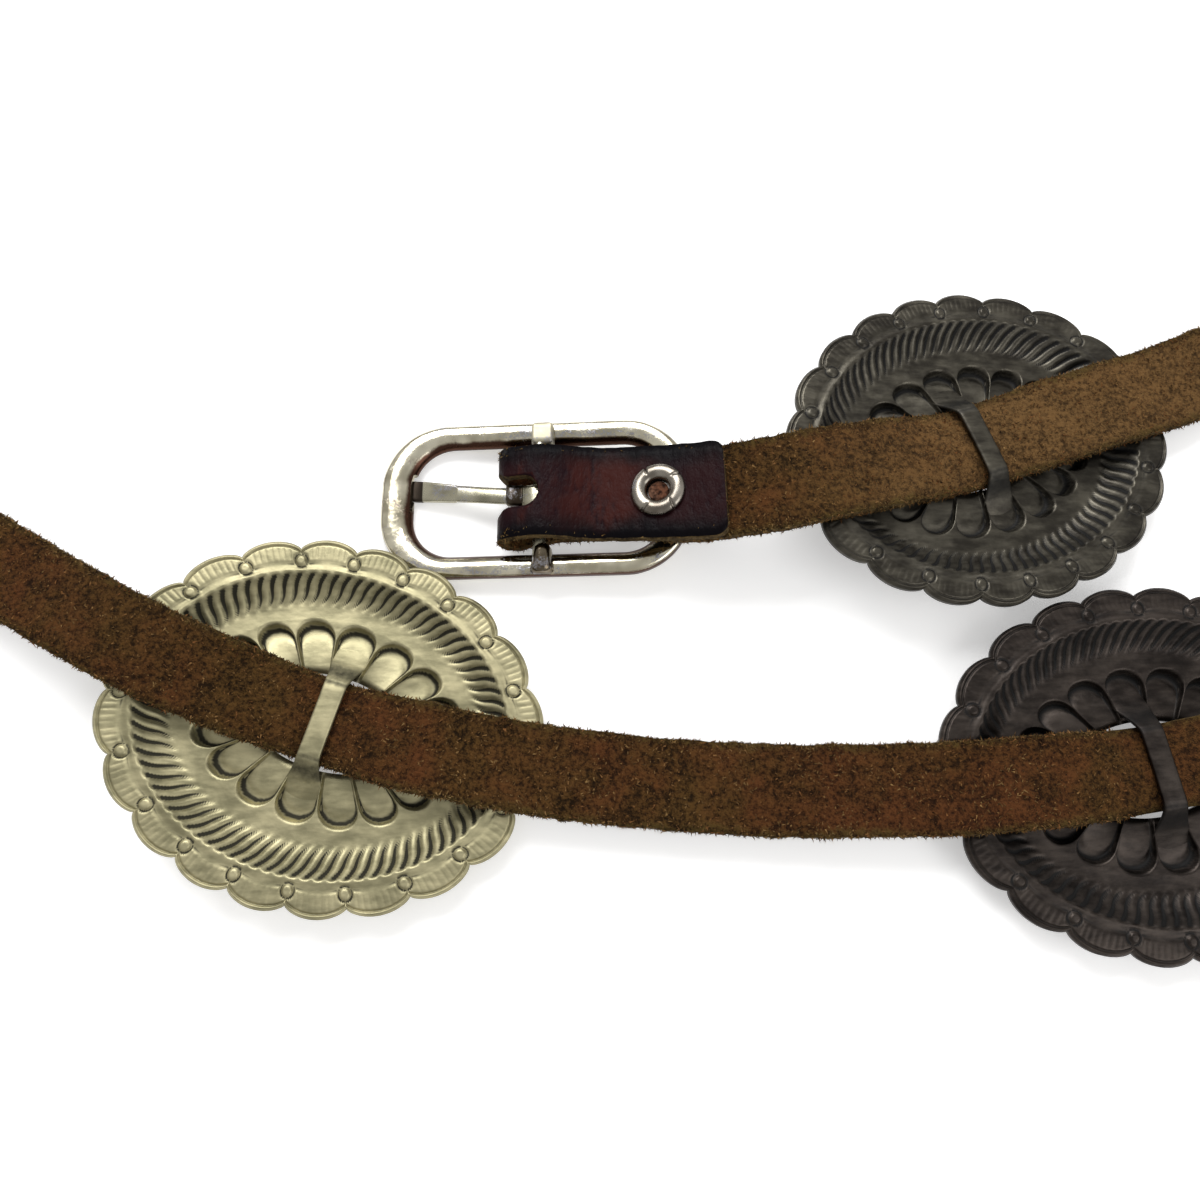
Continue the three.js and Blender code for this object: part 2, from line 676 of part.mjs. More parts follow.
function frameRing() {
  const bevel = FRAME_BEVEL;
  return loft([
    frameOutline(bevel, bevel, frameFront),
    frameOutline(0, 0, frameFront + bevel),
    frameOutline(0, 0, frameBack - bevel / 2),
    frameOutline(bevel / 2, bevel / 2, frameBack),
    frameOutline(FRAME_END - bevel, FRAME_SIDE - bevel, frameBack),
    frameOutline(FRAME_END, FRAME_SIDE, frameBack - bevel),
    frameOutline(FRAME_END, FRAME_SIDE, frameFront + bevel),
    frameOutline(FRAME_END - bevel, FRAME_SIDE - bevel, frameFront),
  ]);
}

// A lug with a round top that carries one end of the crossbar on a long side of the frame.
function frameLug(side) {
  const top = CROSSBAR_RADIUS + LUG_RISE;
  const half = LUG_LENGTH / 2;
  const shape = new THREE.Shape();
  shape.moveTo(-half, frameBack - FRAME_BEVEL);
  shape.lineTo(half, frameBack - FRAME_BEVEL);
  shape.lineTo(half, top - half);
  shape.absarc(0, top - half, half, 0, Math.PI, false);
  shape.closePath();
  const length = FRAME_SIDE - FRAME_BEVEL;
  const lug = new THREE.ExtrudeGeometry(shape, { depth: length, bevelEnabled: false, curveSegments: 8 });
  lug.rotateX(Math.PI / 2);
  const middle = BUCKLE_SHIFT + side * (BUCKLE_WIDTH / 2 - FRAME_SIDE / 2);
  return lug.translate(0, middle + length / 2, 0);
}

function makeFrame() {
  const crossbarLength = BUCKLE_WIDTH - FRAME_SIDE;
  const crossbar = new THREE.CylinderGeometry(CROSSBAR_RADIUS, CROSSBAR_RADIUS, crossbarLength, 16);
  crossbar.translate(0, BUCKLE_SHIFT, 0);
  const notchWidth = TONGUE_TIP_WIDTH + CLEARANCE * 4;
  const notch = new THREE.BoxGeometry(FRAME_END * 3, notchWidth, NOTCH_DEPTH * 2);
  notch.translate(-BUCKLE_LENGTH / 2, tongueReach * TONGUE_SLANT, frameFront);
  const solid = toSolid(frameRing())
    .add(toSolid(frameLug(1)))
    .add(toSolid(frameLug(-1)))
    .add(toSolid(crossbar))
    .subtract(toSolid(notch));
  return toGeometry(solid);
}

// Sections of the tongue from its curl to its tip, in the buckle's frame.
const TONGUE_SECTIONS = [
  { along: curlRadius - CURL_WALL / 2, width: TONGUE_WIDTH, thick: TONGUE_THICKNESS, rise: 1 },
  { along: tongueReach - TONGUE_TIP_LENGTH, width: TONGUE_WIDTH * 0.85, thick: TONGUE_THICKNESS, rise: 0.45 },
  { along: tongueReach - TONGUE_TIP_LENGTH * 0.9, width: TONGUE_TIP_WIDTH, thick: TONGUE_TIP_THICKNESS, rise: 0.4 },
  { along: tongueReach - FRAME_END, width: TONGUE_TIP_WIDTH, thick: TONGUE_TIP_THICKNESS, rise: 0 },
  { along: tongueReach, width: TONGUE_TIP_WIDTH, thick: TONGUE_TIP_THICKNESS, rise: 0 },
];

function makeTongue() {
  const loops = TONGUE_SECTIONS.map(({ along, width, thick, rise }) => {
    const top = mix(tongueSeat, TONGUE_THICKNESS / 2, rise);
    const edge = width * 0.3;
    return [
      [width / 2, top - thick * 0.3],
      [edge, top],
      [-edge, top],
      [-width / 2, top - thick * 0.3],
      [-width / 2, top - thick * 0.8],
      [-edge, top - thick],
      [edge, top - thick],
      [width / 2, top - thick * 0.8],
    ].map(([y, z]) => new THREE.Vector3(-along, y + along * TONGUE_SLANT, z));
  });
  const stem = loft(loops, fanCaps(8));
  const curl = new THREE.CylinderGeometry(curlRadius, curlRadius, TONGUE_WIDTH, 20);
  const bore = new THREE.CylinderGeometry(1, 1, TONGUE_WIDTH * 2, 20);
  bore.scale(CROSSBAR_RADIUS + CLEARANCE, 1, CROSSBAR_RADIUS + CLEARANCE);
  return toGeometry(toSolid(stem).add(toSolid(curl)).subtract(toSolid(bore)));
}

// Rivet, turned about its axis. Its height is counted from the middle of the lower layer.

function makeRivet() {
  const low = -STRAP_THICKNESS / 2 - CLEARANCE;
  const high = layerPitch + STRAP_THICKNESS / 2 + CLEARANCE;
  const roll = RIVET_ROLL_RADIUS;
  const profile = [
    [RIVET_BORE_RADIUS, low - RIVET_CAP_THICKNESS],
    [RIVET_CAP_RADIUS, low - RIVET_CAP_THICKNESS],
    [RIVET_CAP_RADIUS, low],
    [RIVET_BARREL_RADIUS, low],
    [RIVET_BARREL_RADIUS, high],
    [RIVET_CAP_RADIUS, high],
    [RIVET_CAP_RADIUS, high + roll * 0.35],
    [RIVET_CAP_RADIUS - roll * 0.5, high + roll * 0.85],
    [RIVET_CAP_RADIUS - roll, high + roll],
    [RIVET_BORE_RADIUS + roll * 0.35, high + roll * 0.75],
    [RIVET_BORE_RADIUS, high],
    [RIVET_BORE_RADIUS, low - RIVET_CAP_THICKNESS],
  ];
  return new THREE.LatheGeometry(profile.map(([r, z]) => new THREE.Vector2(r, z)), 24);
}

function makePlug() {
  const plug = new THREE.CylinderGeometry(1, 1, STRAP_THICKNESS, 16);
  const radius = RIVET_BORE_RADIUS - CLEARANCE;
  return plug.scale(radius, 1, radius).translate(0, layerPitch, 0);
}

// The rivet's axis is the lathe's Y, which is turned to stand on the leather.
function rivetPlace() {
  const { centre, normal } = strapFrame(RIVET_PLACE);
  const turned = new THREE.Quaternion().setFromUnitVectors(new THREE.Vector3(0, 1, 0), normal);
  return new THREE.Matrix4().makeRotationFromQuaternion(turned).setPosition(centre);
}

// Assembly

const METALS = {
  pale: { color: 0xa69f85, roughness: 0.42, metalness: 1 },
  dark: { color: 0x4a4541, roughness: 0.45, metalness: 1 },
  bright: { color: 0xc9c4b8, roughness: 0.2, metalness: 1 },
};
const LEATHER = { color: 0x5b3a20, roughness: 0.95, metalness: 0 };
const CONCHO_METALS = ['dark', 'dark', 'pale', 'pale', 'pale', 'pale'];

function piece(name, geometry, place, look) {
  const placed = geometry.clone().applyMatrix4(place);
  const mesh = new THREE.Mesh(placed, new THREE.MeshStandardMaterial(look));
  mesh.name = name;
  return mesh;
}

const still = new THREE.Matrix4();
const pieces = [
  piece('buckle_frame', makeFrame(), buckleFrame, METALS.bright),
  piece('buckle_tongue', makeTongue(), buckleFrame, METALS.bright),
  piece('strap', makeStrap(), still, LEATHER),
  piece('rivet', makeRivet(), rivetPlace(), METALS.bright),
  piece('rivet_plug', makePlug(), rivetPlace(), LEATHER),
  ...conchos.map(({ place }, i) => piece(`concho_${i + 1}`, conchoGeometry, place, METALS[CONCHO_METALS[i]])),
];

// The origin is put under the middle of the whole belt.
const belt = new THREE.Group();
belt.name = 'concho_belt';
const bounds = new THREE.Box3();
for (const mesh of pieces) bounds.expandByObject(mesh, true);
for (const mesh of pieces) {
  const middle = bounds.getCenter(new THREE.Vector3());
  mesh.geometry.translate(-middle.x, -middle.y, -bounds.min.z);
  belt.add(mesh);
}

export default belt;
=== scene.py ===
# %% [markdown]
# A concho belt lies on its face, with the rough side of its leather up. Everything here is placed
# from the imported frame, so that the visual pieces sit where the measured pieces are. Lengths are
# kept in millimetres in the tables and turned into metres only when a mesh is made.

import json
import math

import bmesh
import bpy
import numpy as np
from mathutils import Matrix, Vector, noise

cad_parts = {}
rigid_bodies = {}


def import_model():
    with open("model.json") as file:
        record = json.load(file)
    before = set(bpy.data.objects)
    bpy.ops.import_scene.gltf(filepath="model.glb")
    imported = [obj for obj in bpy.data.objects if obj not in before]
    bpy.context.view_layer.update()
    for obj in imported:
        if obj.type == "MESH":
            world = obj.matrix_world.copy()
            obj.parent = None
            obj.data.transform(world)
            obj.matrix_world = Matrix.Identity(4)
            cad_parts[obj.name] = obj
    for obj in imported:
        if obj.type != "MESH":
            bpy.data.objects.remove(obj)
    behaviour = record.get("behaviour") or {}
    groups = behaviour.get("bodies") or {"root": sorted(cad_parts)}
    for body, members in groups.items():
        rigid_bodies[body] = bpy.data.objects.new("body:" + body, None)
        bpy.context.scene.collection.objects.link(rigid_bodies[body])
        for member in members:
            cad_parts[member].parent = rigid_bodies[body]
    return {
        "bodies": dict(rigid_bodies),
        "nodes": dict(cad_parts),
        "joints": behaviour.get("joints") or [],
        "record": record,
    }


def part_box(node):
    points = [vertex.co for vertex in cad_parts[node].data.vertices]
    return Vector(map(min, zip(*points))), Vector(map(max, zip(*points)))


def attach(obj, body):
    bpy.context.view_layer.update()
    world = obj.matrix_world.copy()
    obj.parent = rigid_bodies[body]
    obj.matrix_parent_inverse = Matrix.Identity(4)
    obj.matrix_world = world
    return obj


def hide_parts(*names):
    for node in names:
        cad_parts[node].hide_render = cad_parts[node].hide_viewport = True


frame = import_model()
bpy.context.view_layer.update()
MM = 0.001

# %% [markdown]
# The strap is one long strip that runs over and under everything. Its way over the floor is the
# same table of runs as in the measured part: how long each run is, how far it turns, how much it
# stands on its edge and how wide it is at its end. A list of points would hide these rules.

# %% The strap's runs
STRAP_WIDTH = 20.6
STRAP_THICKNESS = 2.0
CONCHO_LENGTH = 86.4
CONCHO_WIDTH = 71.4
RUN_SIZE = {"lead": 50.8, "concho": CONCHO_LENGTH, "gap": 77.0, "bend": CONCHO_WIDTH, "tail": 132.0}
START_HEADING = -0.3
# over, share, turn, edge, width, skew, tip
ROUTE = [
    ("lead", 0.6, -7.9, 0, 0.97, 0, 0),
    ("lead", 0.4, 22.4, 0, 0.96, 0, 0),
    ("concho", 1, 4.9, 0, 0.93, 2, 7),
    ("bend", 0.57, 4.6, 60, 0.9, 0, 0),
    ("bend", 1.96, -193.2, 60, 0.87, 0, 0),
    ("bend", 0.48, 3.9, 0, 0.85, 0, 0),
    ("concho", 1, -12.7, 0, 0.85, 0, 0),
    ("gap", 1, -10.2, 0, 0.85, 0, 0),
    ("concho", 1, -19.2, 0, 0.86, 1, -5),
    ("gap", 0.8, -6, 0, 0.88, 0, 0),
    ("concho", 1, -5, 0, 0.9, 0, 0),
    ("bend", 0.45, -2, 60, 0.91, 0, 0),
    ("bend", 1, -102, 60, 0.92, 0, 0),
    ("bend", 0.45, -2, 0, 0.92, 0, 0),
    ("concho", 1, -5, 0, 0.92, 0, 0),
    ("gap", 0.8, -12, 0, 0.92, 0, 0),
    ("concho", 1, -5, 0, 0.92, 0, 0),
    ("tail", 1, -6, 0, 0.92, 0, 0),
]
EASE = 10


def smoothstep(t):
    t = np.clip(t, 0, 1)
    return t * t * (3 - 2 * t)


def mix(a, b, t):
    return a + (b - a) * t


def eased(values):
    """Values averaged with their neighbours, so that one run passes smoothly into the next."""
    kernel = np.ones(2 * EASE + 1) / (2 * EASE + 1)
    return np.convolve(np.pad(values, EASE, mode="edge"), kernel, mode="valid")


def trace_route():
    """Place, heading, roll and width of the strap at every millimetre or so along it."""
    step, turn, roll, wide, stations = [], [], [], [], []
    start, edge_before, width_before = 0.0, 0.0, 1.0
    for over, share, bend, edge, width, skew, tip in ROUTE:
        length = RUN_SIZE[over] * share
        count = math.ceil(length)
        t = (np.arange(count) + 0.5) / count
        step.append(np.full(count, length / count))
        turn.append(np.full(count, math.radians(bend) / count))
        roll.append(np.radians(mix(edge_before, edge, smoothstep(t))))
        wide.append(mix(width_before, width, t) * STRAP_WIDTH)
        stations.append(dict(over=over, start=start, end=start + length, edge=edge, skew=skew, tip=tip))
        start, edge_before, width_before = start + length, edge, width
    step, turn, roll = np.concatenate(step), eased(np.concatenate(turn)), eased(np.concatenate(roll))
    heading = math.radians(START_HEADING) + np.concatenate([[0], np.cumsum(turn)])
    mean_heading = (heading[1:] + heading[:-1]) / 2
    x = np.concatenate([[0], np.cumsum(step * np.cos(mean_heading))])
    y = np.concatenate([[0], np.cumsum(step * np.sin(mean_heading))])
    s = np.concatenate([[0], np.cumsum(step)])
    wide = np.concatenate(wide)
    return dict(s=s, x=x, y=y, heading=heading, roll=np.append(roll, roll[-1]),
                width=np.append(wide, wide[-1]), stations=stations, length=s[-1])


route = trace_route()
print("strap length in mm", round(route["length"], 1))

# %% [markdown]
# The route starts at the buckle's crossbar. One concho lies flat, so the middle of its box is its
# own middle, and that gives the shift from the route to the row's frame.

# %% From the route to the frame
FLANGE_HEIGHT = 6.6
BAND_HEIGHT = 2.8
BAR_TOP = 7.1
SHEET = 1.0
SCALLOP_REACH = 1.9
VALLEY_LENGTH = CONCHO_LENGTH / 2 - SCALLOP_REACH
VALLEY_WIDTH = CONCHO_WIDTH / 2 - SCALLOP_REACH
FLANGE_WIDTH = 5.0
REST_REACH = 23.65
conchos = [row for row in route["stations"] if row["over"] == "concho"]


def on_route(s, name):
    return np.interp(s, route["s"], route[name])


flat_low, flat_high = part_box("concho_2")
flat_bar = (conchos[1]["start"] + conchos[1]["end"]) / 2
shift_x = (flat_low.x + flat_high.x) / 2 / MM - on_route(flat_bar, "x")
shift_y = (flat_low.y + flat_high.y) / 2 / MM - on_route(flat_bar, "y")
for row in conchos:
    row["bar"] = (row["start"] + row["end"]) / 2
    row["z"] = REST_REACH * math.sin(math.radians(abs(row["tip"])))
    heading = on_route(row["bar"], "heading") + math.radians(row["skew"])
    place = Vector((on_route(row["bar"], "x") + shift_x, on_route(row["bar"], "y") + shift_y, row["z"]))
    row["place"] = Matrix.Translation(place) @ Matrix.Rotation(heading, 4, "Z")
    row["place"] = row["place"] @ Matrix.Rotation(math.radians(row["tip"]), 4, "Y")
    print("concho at", [round(v, 1) for v in place])

# %% [markdown]
# Each concho is struck from sheet metal: a flange with scallops, a rope wall that drops to a smooth
# band, and a ring of petals round the opening. Seen from the back the relief is hollow. A sheet
# with many small features is easiest as one grid whose height is a sum of simple rules: u goes
# round the oval and d is the distance inward from the valleys between the scallops.

# %% Rules for the relief of a concho
SCALLOPS = 20
ROPE_TURNS = 80
PETALS = 18
FLANGE_END = 4.9
WALL_END = 10.9
BAND_END = 13.8
OPENING_LENGTH = 16.0
OPENING_WIDTH = 9.3
SCALLOP_RISE = 1.95
SCALLOP_WIDTH = 11.8
TICKS = 10
TICK_DEPTH = 0.08
BOSS_PLACE = 2.6
ROPE_DEPTH = 1.15
PETAL_DEPTH = 1.75
# place, width, rise
RIM_BEADS = [(0.0, 0.3, -0.4), (0.55, 0.3, 0.1), (1.0, 0.2, -0.36)]
FOOT_BEADS = [(4.1, 0.2, -0.14), (4.55, 0.22, 0.2)]
BAND_BEADS = [(12.6, 1.0, -0.12), (14.2, 0.5, 0.1)]


def bump(x, width):
    return np.exp(-((x / width) ** 2))


def beads(x, table):
    """Rounded ridges, or grooves where the rise is below nought, side by side."""
    return sum(rise * bump(x - place, width) for place, width, rise in table)


def ramp(x, low, high):
    return smoothstep((x - low) / (high - low))


def arc_share(length, width):
    """Share of the way round an oval that is reached at each angle."""
    angle = np.linspace(0, 2 * np.pi, 4001)
    step = np.hypot(length * np.cos(angle), width * np.sin(angle))
    share = np.concatenate([[0], np.cumsum((step[1:] + step[:-1]) / 2)])
    return angle, share / share[-1]


def scallop_rise(q):
    """How far the edge stands out from the valleys; q goes from 0 to 1 across a scallop."""
    return SCALLOP_RISE * np.clip(1 - (2 * q - 1) ** 2, 0, 1) ** 0.72


def flange_relief(q, d, edge):
    """Bead, ticks, arch and boss of a scallop. q goes across it, edge is the way in from its rim."""
    side = np.minimum(q, 1 - q) * SCALLOP_WIDTH
    arch = 2.75 + 0.85 * (2 * q - 1) ** 2
    z = beads(edge, RIM_BEADS)
    fan = np.cos(2 * np.pi * TICKS * q + 0.8 * np.sin(7 * q))
    uneven = 0.55 + 0.45 * np.sin(23 * q + 1.3) ** 2
    within = ramp(edge, 1.3, 1.5) * (1 - ramp(d, arch - 0.95, arch - 0.45))
    ticks = ramp(fan, -0.1, 0.9) * within * uneven
    z -= TICK_DEPTH * ticks * ramp(side, 1.5, 2.2)
    z -= 0.36 * bump(d - arch, 0.2) * ramp(side, 0.4, 1.2)
    z -= 0.14 * bump(d - arch - 0.5, 0.2) * ramp(side, 0.6, 1.4)
    away = np.hypot(side, d - BOSS_PLACE)
    z = np.where(away < 1.9, mix(z, 0.0, ramp(-away, -1.9, -1.5)), z)
    z += 0.34 * (1 - ramp(away, 0.75, 1.25))
    z -= 0.34 * bump(away - 1.42, 0.2)
    return z + beads(d, FOOT_BEADS)


def rope_lobe(u, v):
    """Roundness of a strand of the rope and of the scratched line beside it."""
    phase = ROPE_TURNS * u + 1.65 * v + 0.13 * np.sin(2 * np.pi * v)
    return np.abs(np.sin(np.pi * phase)), np.abs(np.sin(np.pi * (phase + 0.22)))


def rope_relief(u, v):
    lobe, line = rope_lobe(u, v)
    reach = np.clip(np.sin(np.pi * np.clip(v * 0.94 + 0.03, 0, 1)), 0, 1) ** 0.5
    z = ROPE_DEPTH * reach * mix(1.0, 0.3, v) * (lobe**0.85 - 0.66)
    return z - 0.18 * bump(line, 0.12) * ramp(v, 0.35, 0.6) * (1 - ramp(v, 0.9, 1.0))


def rope_dirt_and_shade(u, v):
    """Dirt and painted shade in the grooves of the wall, darkest near the flange."""
    lobe, line = rope_lobe(u, v)
    groove = ramp(1 - lobe, mix(0.2, 0.72, v), mix(0.85, 1.0, v)) * mix(0.95, 0.5, v)
    groove = groove * ramp(v, 0.0, 0.1) * (1 - ramp(v, 0.8, 1.0))
    scratch = 0.4 * bump(line, 0.12) * ramp(v, 0.35, 0.6) * (1 - ramp(v, 0.85, 0.98))
    # the last term is painted shade, which darkens the whole wall towards the flange
    return groove + scratch + 0.24 * (1 - v)


def petal_relief(turn, p):
    """One of the round-ended hollows; p goes from their outer ends to the opening."""
    q = 2 * ((turn * PETALS + 0.5) % 1) - 1
    outline = np.clip(1 - np.abs(q / 0.99) ** 2.2, 0, 1) ** 0.5
    start = 0.43 * (1 - outline)
    inside = ramp(p - start, 0.0, 0.13) * ramp(-np.abs(q), -1.0, -0.84)
    bowl = mix(1.0, 0.62, ramp(p, 0.12, 0.85)) + 0.25 * bump(p - start - 0.16, 0.12)
    z = -PETAL_DEPTH * inside * bowl * (1 - 0.25 * q**2)
    z += 0.16 * bump(np.abs(q) - 1, 0.06) * ramp(p, 0.3, 0.5)
    return z - 0.1 * bump(np.abs(q) - 0.93, 0.04) * ramp(p, 0.3, 0.5)


def relief(u, turn, d, edge, p):
    """Height of the back of the sheet over the lowest point of the concho's front."""
    q = (u * SCALLOPS + 0.5) % 1
    v = np.clip((d - FLANGE_END) / (WALL_END - FLANGE_END), 0, 1)
    wall = 1 - (1 - v) ** 1.75
    z = mix(FLANGE_HEIGHT, BAND_HEIGHT, wall)
    z = z + np.where(d < FLANGE_END, flange_relief(q, d, edge), 0)
    z = z + np.where((v > 0) & (v < 1), rope_relief(u, v), 0)
    z = z + beads(d, BAND_BEADS) * (p <= 0)
    return z + np.where(p > 0, petal_relief(turn, p), 0)

# %% [markdown]
# The grid has more rows where the relief is sharp: many on the rim, the rope and the ends of the
# petals, and few on the band. Its columns follow the length of the oval, so that the scallops
# stay even. The front is the same sheet one thickness lower, with only a few of the rows.

# %% A grid for one concho
RIM_WIDTH = 1.3
FAR_FROM_EDGE = 9.0
RIM_ROWS = np.linspace(0, RIM_WIDTH, 10)
FLANGE_ROWS = np.linspace(1.45, FLANGE_WIDTH, 12)
WALL_ROWS = np.linspace(0.02, 1, 17)
BAND_ROWS = np.linspace(0.15, 0.9, 2)
PETAL_ROWS = np.concatenate([np.linspace(0, 0.5, 15), np.linspace(0.57, 1, 4)])
FRONT_ROWS = [0, 8, 21, 30, 39, 48, -1]
COLUMN_SHIFT = 0.034


def grid_rows(columns):
    """Way in from the valleys, way in from the edge, and share of the petals, for each row."""
    rise = scallop_rise((np.arange(columns) / columns * SCALLOPS + 0.5) % 1)
    nothing = np.zeros(columns)
    edges = [np.minimum(w + nothing, rise + FLANGE_END) for w in RIM_ROWS]
    parts = (FLANGE_ROWS - RIM_WIDTH) / (FLANGE_WIDTH - RIM_WIDTH)
    edges += [mix(RIM_WIDTH, rise + FLANGE_END, part) for part in parts]
    rows = [(edge - rise, edge, nothing) for edge in edges]
    inner = [(mix(FLANGE_END, WALL_END, v), 0) for v in WALL_ROWS]
    inner += [(mix(WALL_END, BAND_END, b), 0) for b in BAND_ROWS]
    inner += [(BAND_END, max(p, 1e-4)) for p in PETAL_ROWS]
    return rows + [(nothing + d, nothing + FAR_FROM_EDGE, nothing + p) for d, p in inner]


def concho_grid(columns):
    """Points of the back of the sheet, row by row inwards, and the dirt and painted shade on its wall."""
    u = np.arange(columns) / columns
    angle, share = arc_share(VALLEY_LENGTH, VALLEY_WIDTH)
    t = np.interp(u, share, angle) - COLUMN_SHIFT * np.sin(4 * np.pi * u)
    points, dirt_and_shade = [], []
    for d, edge, p in grid_rows(columns):
        v = (d - FLANGE_END) / (WALL_END - FLANGE_END)
        dirt_and_shade.append(np.where((v > 0) & (v < 1), rope_dirt_and_shade(u, np.clip(v, 0, 1)), 0))
        z = relief(u, t / (2 * np.pi), d, edge, p)
        length = mix(VALLEY_LENGTH - d, OPENING_LENGTH, p)
        width = mix(VALLEY_WIDTH - d, OPENING_WIDTH, p)
        points.append(np.stack([length * np.sin(t), width * np.cos(t), z], 1))
    return np.array(points), np.array(dirt_and_shade)


def quads_between(loops, following):
    """Faces between loops of point numbers and the loops that follow them."""
    corners = [loops, following, np.roll(following, -1, 1), np.roll(loops, -1, 1)]
    return np.stack(corners, -1).reshape(-1, 4).tolist()


def ring_mesh(loops):
    """Points and faces of loops whose last is joined to the first, as in a ring."""
    loops = np.asarray(loops)
    index = np.arange(loops.shape[0] * loops.shape[1]).reshape(loops.shape[:2])
    return loops.reshape(-1, 3), quads_between(index, np.roll(index, -1, 0))


def tube_mesh(loops):
    """Points and faces of a row of loops with a face over each end."""
    loops = np.asarray(loops)
    index = np.arange(loops.shape[0] * loops.shape[1]).reshape(loops.shape[:2])
    ends = [index[0].tolist(), index[-1][::-1].tolist()]
    return loops.reshape(-1, 3), quads_between(index[:-1], index[1:]) + ends


def joined(parts):
    """Points and faces of several parts as those of one mesh."""
    points, faces, start = [], [], 0
    for some_points, some_faces in parts:
        points.append(some_points)
        faces += [[i + start for i in face] for face in some_faces]
        start += len(some_points)
    return np.concatenate(points), faces


def mesh_object(name, points, faces, materials=(), face_materials=None, smooth=True):
    mesh = bpy.data.meshes.new(name)
    mesh.from_pydata((np.asarray(points) * MM).tolist(), [], faces)
    for material in materials:
        mesh.materials.append(material)
    if face_materials is not None:
        mesh.polygons.foreach_set("material_index", np.asarray(face_materials, np.int32))
    mesh.polygons.foreach_set("use_smooth", np.full(len(mesh.polygons), smooth))
    mesh.update()
    obj = bpy.data.objects.new(name, mesh)
    bpy.context.scene.collection.objects.link(obj)
    return obj

# %% [markdown]
# Every finish is built from sockets, and a small class lets the shader maths be written as plain
# sums. It wraps one output socket, and each operator adds the node that does it. Every other node,
# in a material, the sky or a Geometry Nodes tree, comes from one method of the graph.

# %% Shader maths
class Wire:
    """One output socket of a graph."""

    def __init__(self, graph, socket):
        self.graph, self.socket = graph, socket

    def math(self, operation, *others):
        return self.graph.node("ShaderNodeMath", {"operation": operation}, dict(enumerate([self, *others])))

    def __add__(self, other):
        return self.math("ADD", other)

    def __sub__(self, other):
        return self.math("SUBTRACT", other)

    def __rsub__(self, other):
        return self.math("MULTIPLY", -1.0).math("ADD", other)

    def __mul__(self, other):
        return self.math("MULTIPLY", other)

    __radd__ = __add__
    __rmul__ = __mul__

    def clamp(self):
        return self.math("MINIMUM", 1.0).math("MAXIMUM", 0.0)

    def between(self, low, high):
        return self.graph.node("ShaderNodeMapRange", {"interpolation_type": "SMOOTHSTEP"},
                               {"Value": self, "From Min": low, "From Max": high}, "Result")

    def beside(self, output):
        """Another output of the same node."""
        return Wire(self.graph, self.socket.node.outputs[output])


class Graph:
    """A tree of nodes, in which one method makes every node."""

    def __init__(self, tree):
        self.tree = tree

    def fill(self, node, inputs):
        for place, value in inputs.items():
            if isinstance(value, Wire):
                self.tree.links.new(value.socket, node.inputs[place])
            else:
                node.inputs[place].default_value = value

    def node(self, kind, settings, inputs, output=0):
        made = self.tree.nodes.new(kind)
        for name, value in settings.items():
            if name == "stops":
                set_stops(made.color_ramp, value)
            else:
                setattr(made, name, value)
        self.fill(made, inputs)
        return Wire(self, made.outputs[output]) if made.outputs else None


def set_stops(color_ramp, stops):
    """A ramp starts with a stop at each end, so only the stops between them are new."""
    for place, colour in stops:
        at_end = {0: 0, 1: -1}.get(place)
        stop = color_ramp.elements.new(place) if at_end is None else color_ramp.elements[at_end]
        stop.color = colour


class Finish(Graph):
    """One material with its coordinates, its noises and its output."""

    def __init__(self, name):
        self.material = bpy.data.materials.new(name)
        self.material.use_nodes = True
        super().__init__(self.material.node_tree)
        self.place = self.node("ShaderNodeTexCoord", {}, {}, "Object")

    def attribute(self, name):
        return self.node("ShaderNodeAttribute", {"attribute_name": name}, {}, "Fac")

    def noise(self, size, detail=3.0, stretch=None, rough=0.55):
        """Noise whose lumps are about size millimetres across."""
        place = self.place
        if stretch:
            place = self.node("ShaderNodeMapping", {}, {"Vector": place, "Scale": stretch}, "Vector")
        inputs = {"Vector": place, "Scale": 1 / (size * MM), "Detail": detail, "Roughness": rough}
        return self.node("ShaderNodeTexNoise", {}, inputs, "Fac")

    def cells(self, size):
        """Distance from the middles of cells about size millimetres across."""
        inputs = {"Vector": self.place, "Scale": 1 / (size * MM)}
        return self.node("ShaderNodeTexVoronoi", {}, inputs, "Distance")

    def mix(self, amount, first, second):
        return self.node("ShaderNodeMix", {"data_type": "RGBA"}, {0: amount, 6: first, 7: second}, 2)

    def set(self, name, value):
        self.fill(self.tree.nodes["Principled BSDF"], {name: value})

    def raise_by(self, height, distance, strength=1.0):
        """The surface looks raised by up to distance millimetres where height is high."""
        inputs = {"Height": height, "Distance": distance * MM, "Strength": strength}
        self.set("Normal", self.node("ShaderNodeBump", {}, inputs, "Normal"))


def srgb(red, green, blue):
    """A colour read from 0 to 255, as the linear values that Blender mixes."""
    shares = [c / 255 for c in (red, green, blue)]
    return (*(((s + 0.055) / 1.055) ** 2.4 if s > 0.04 else s / 12.92 for s in shares), 1.0)
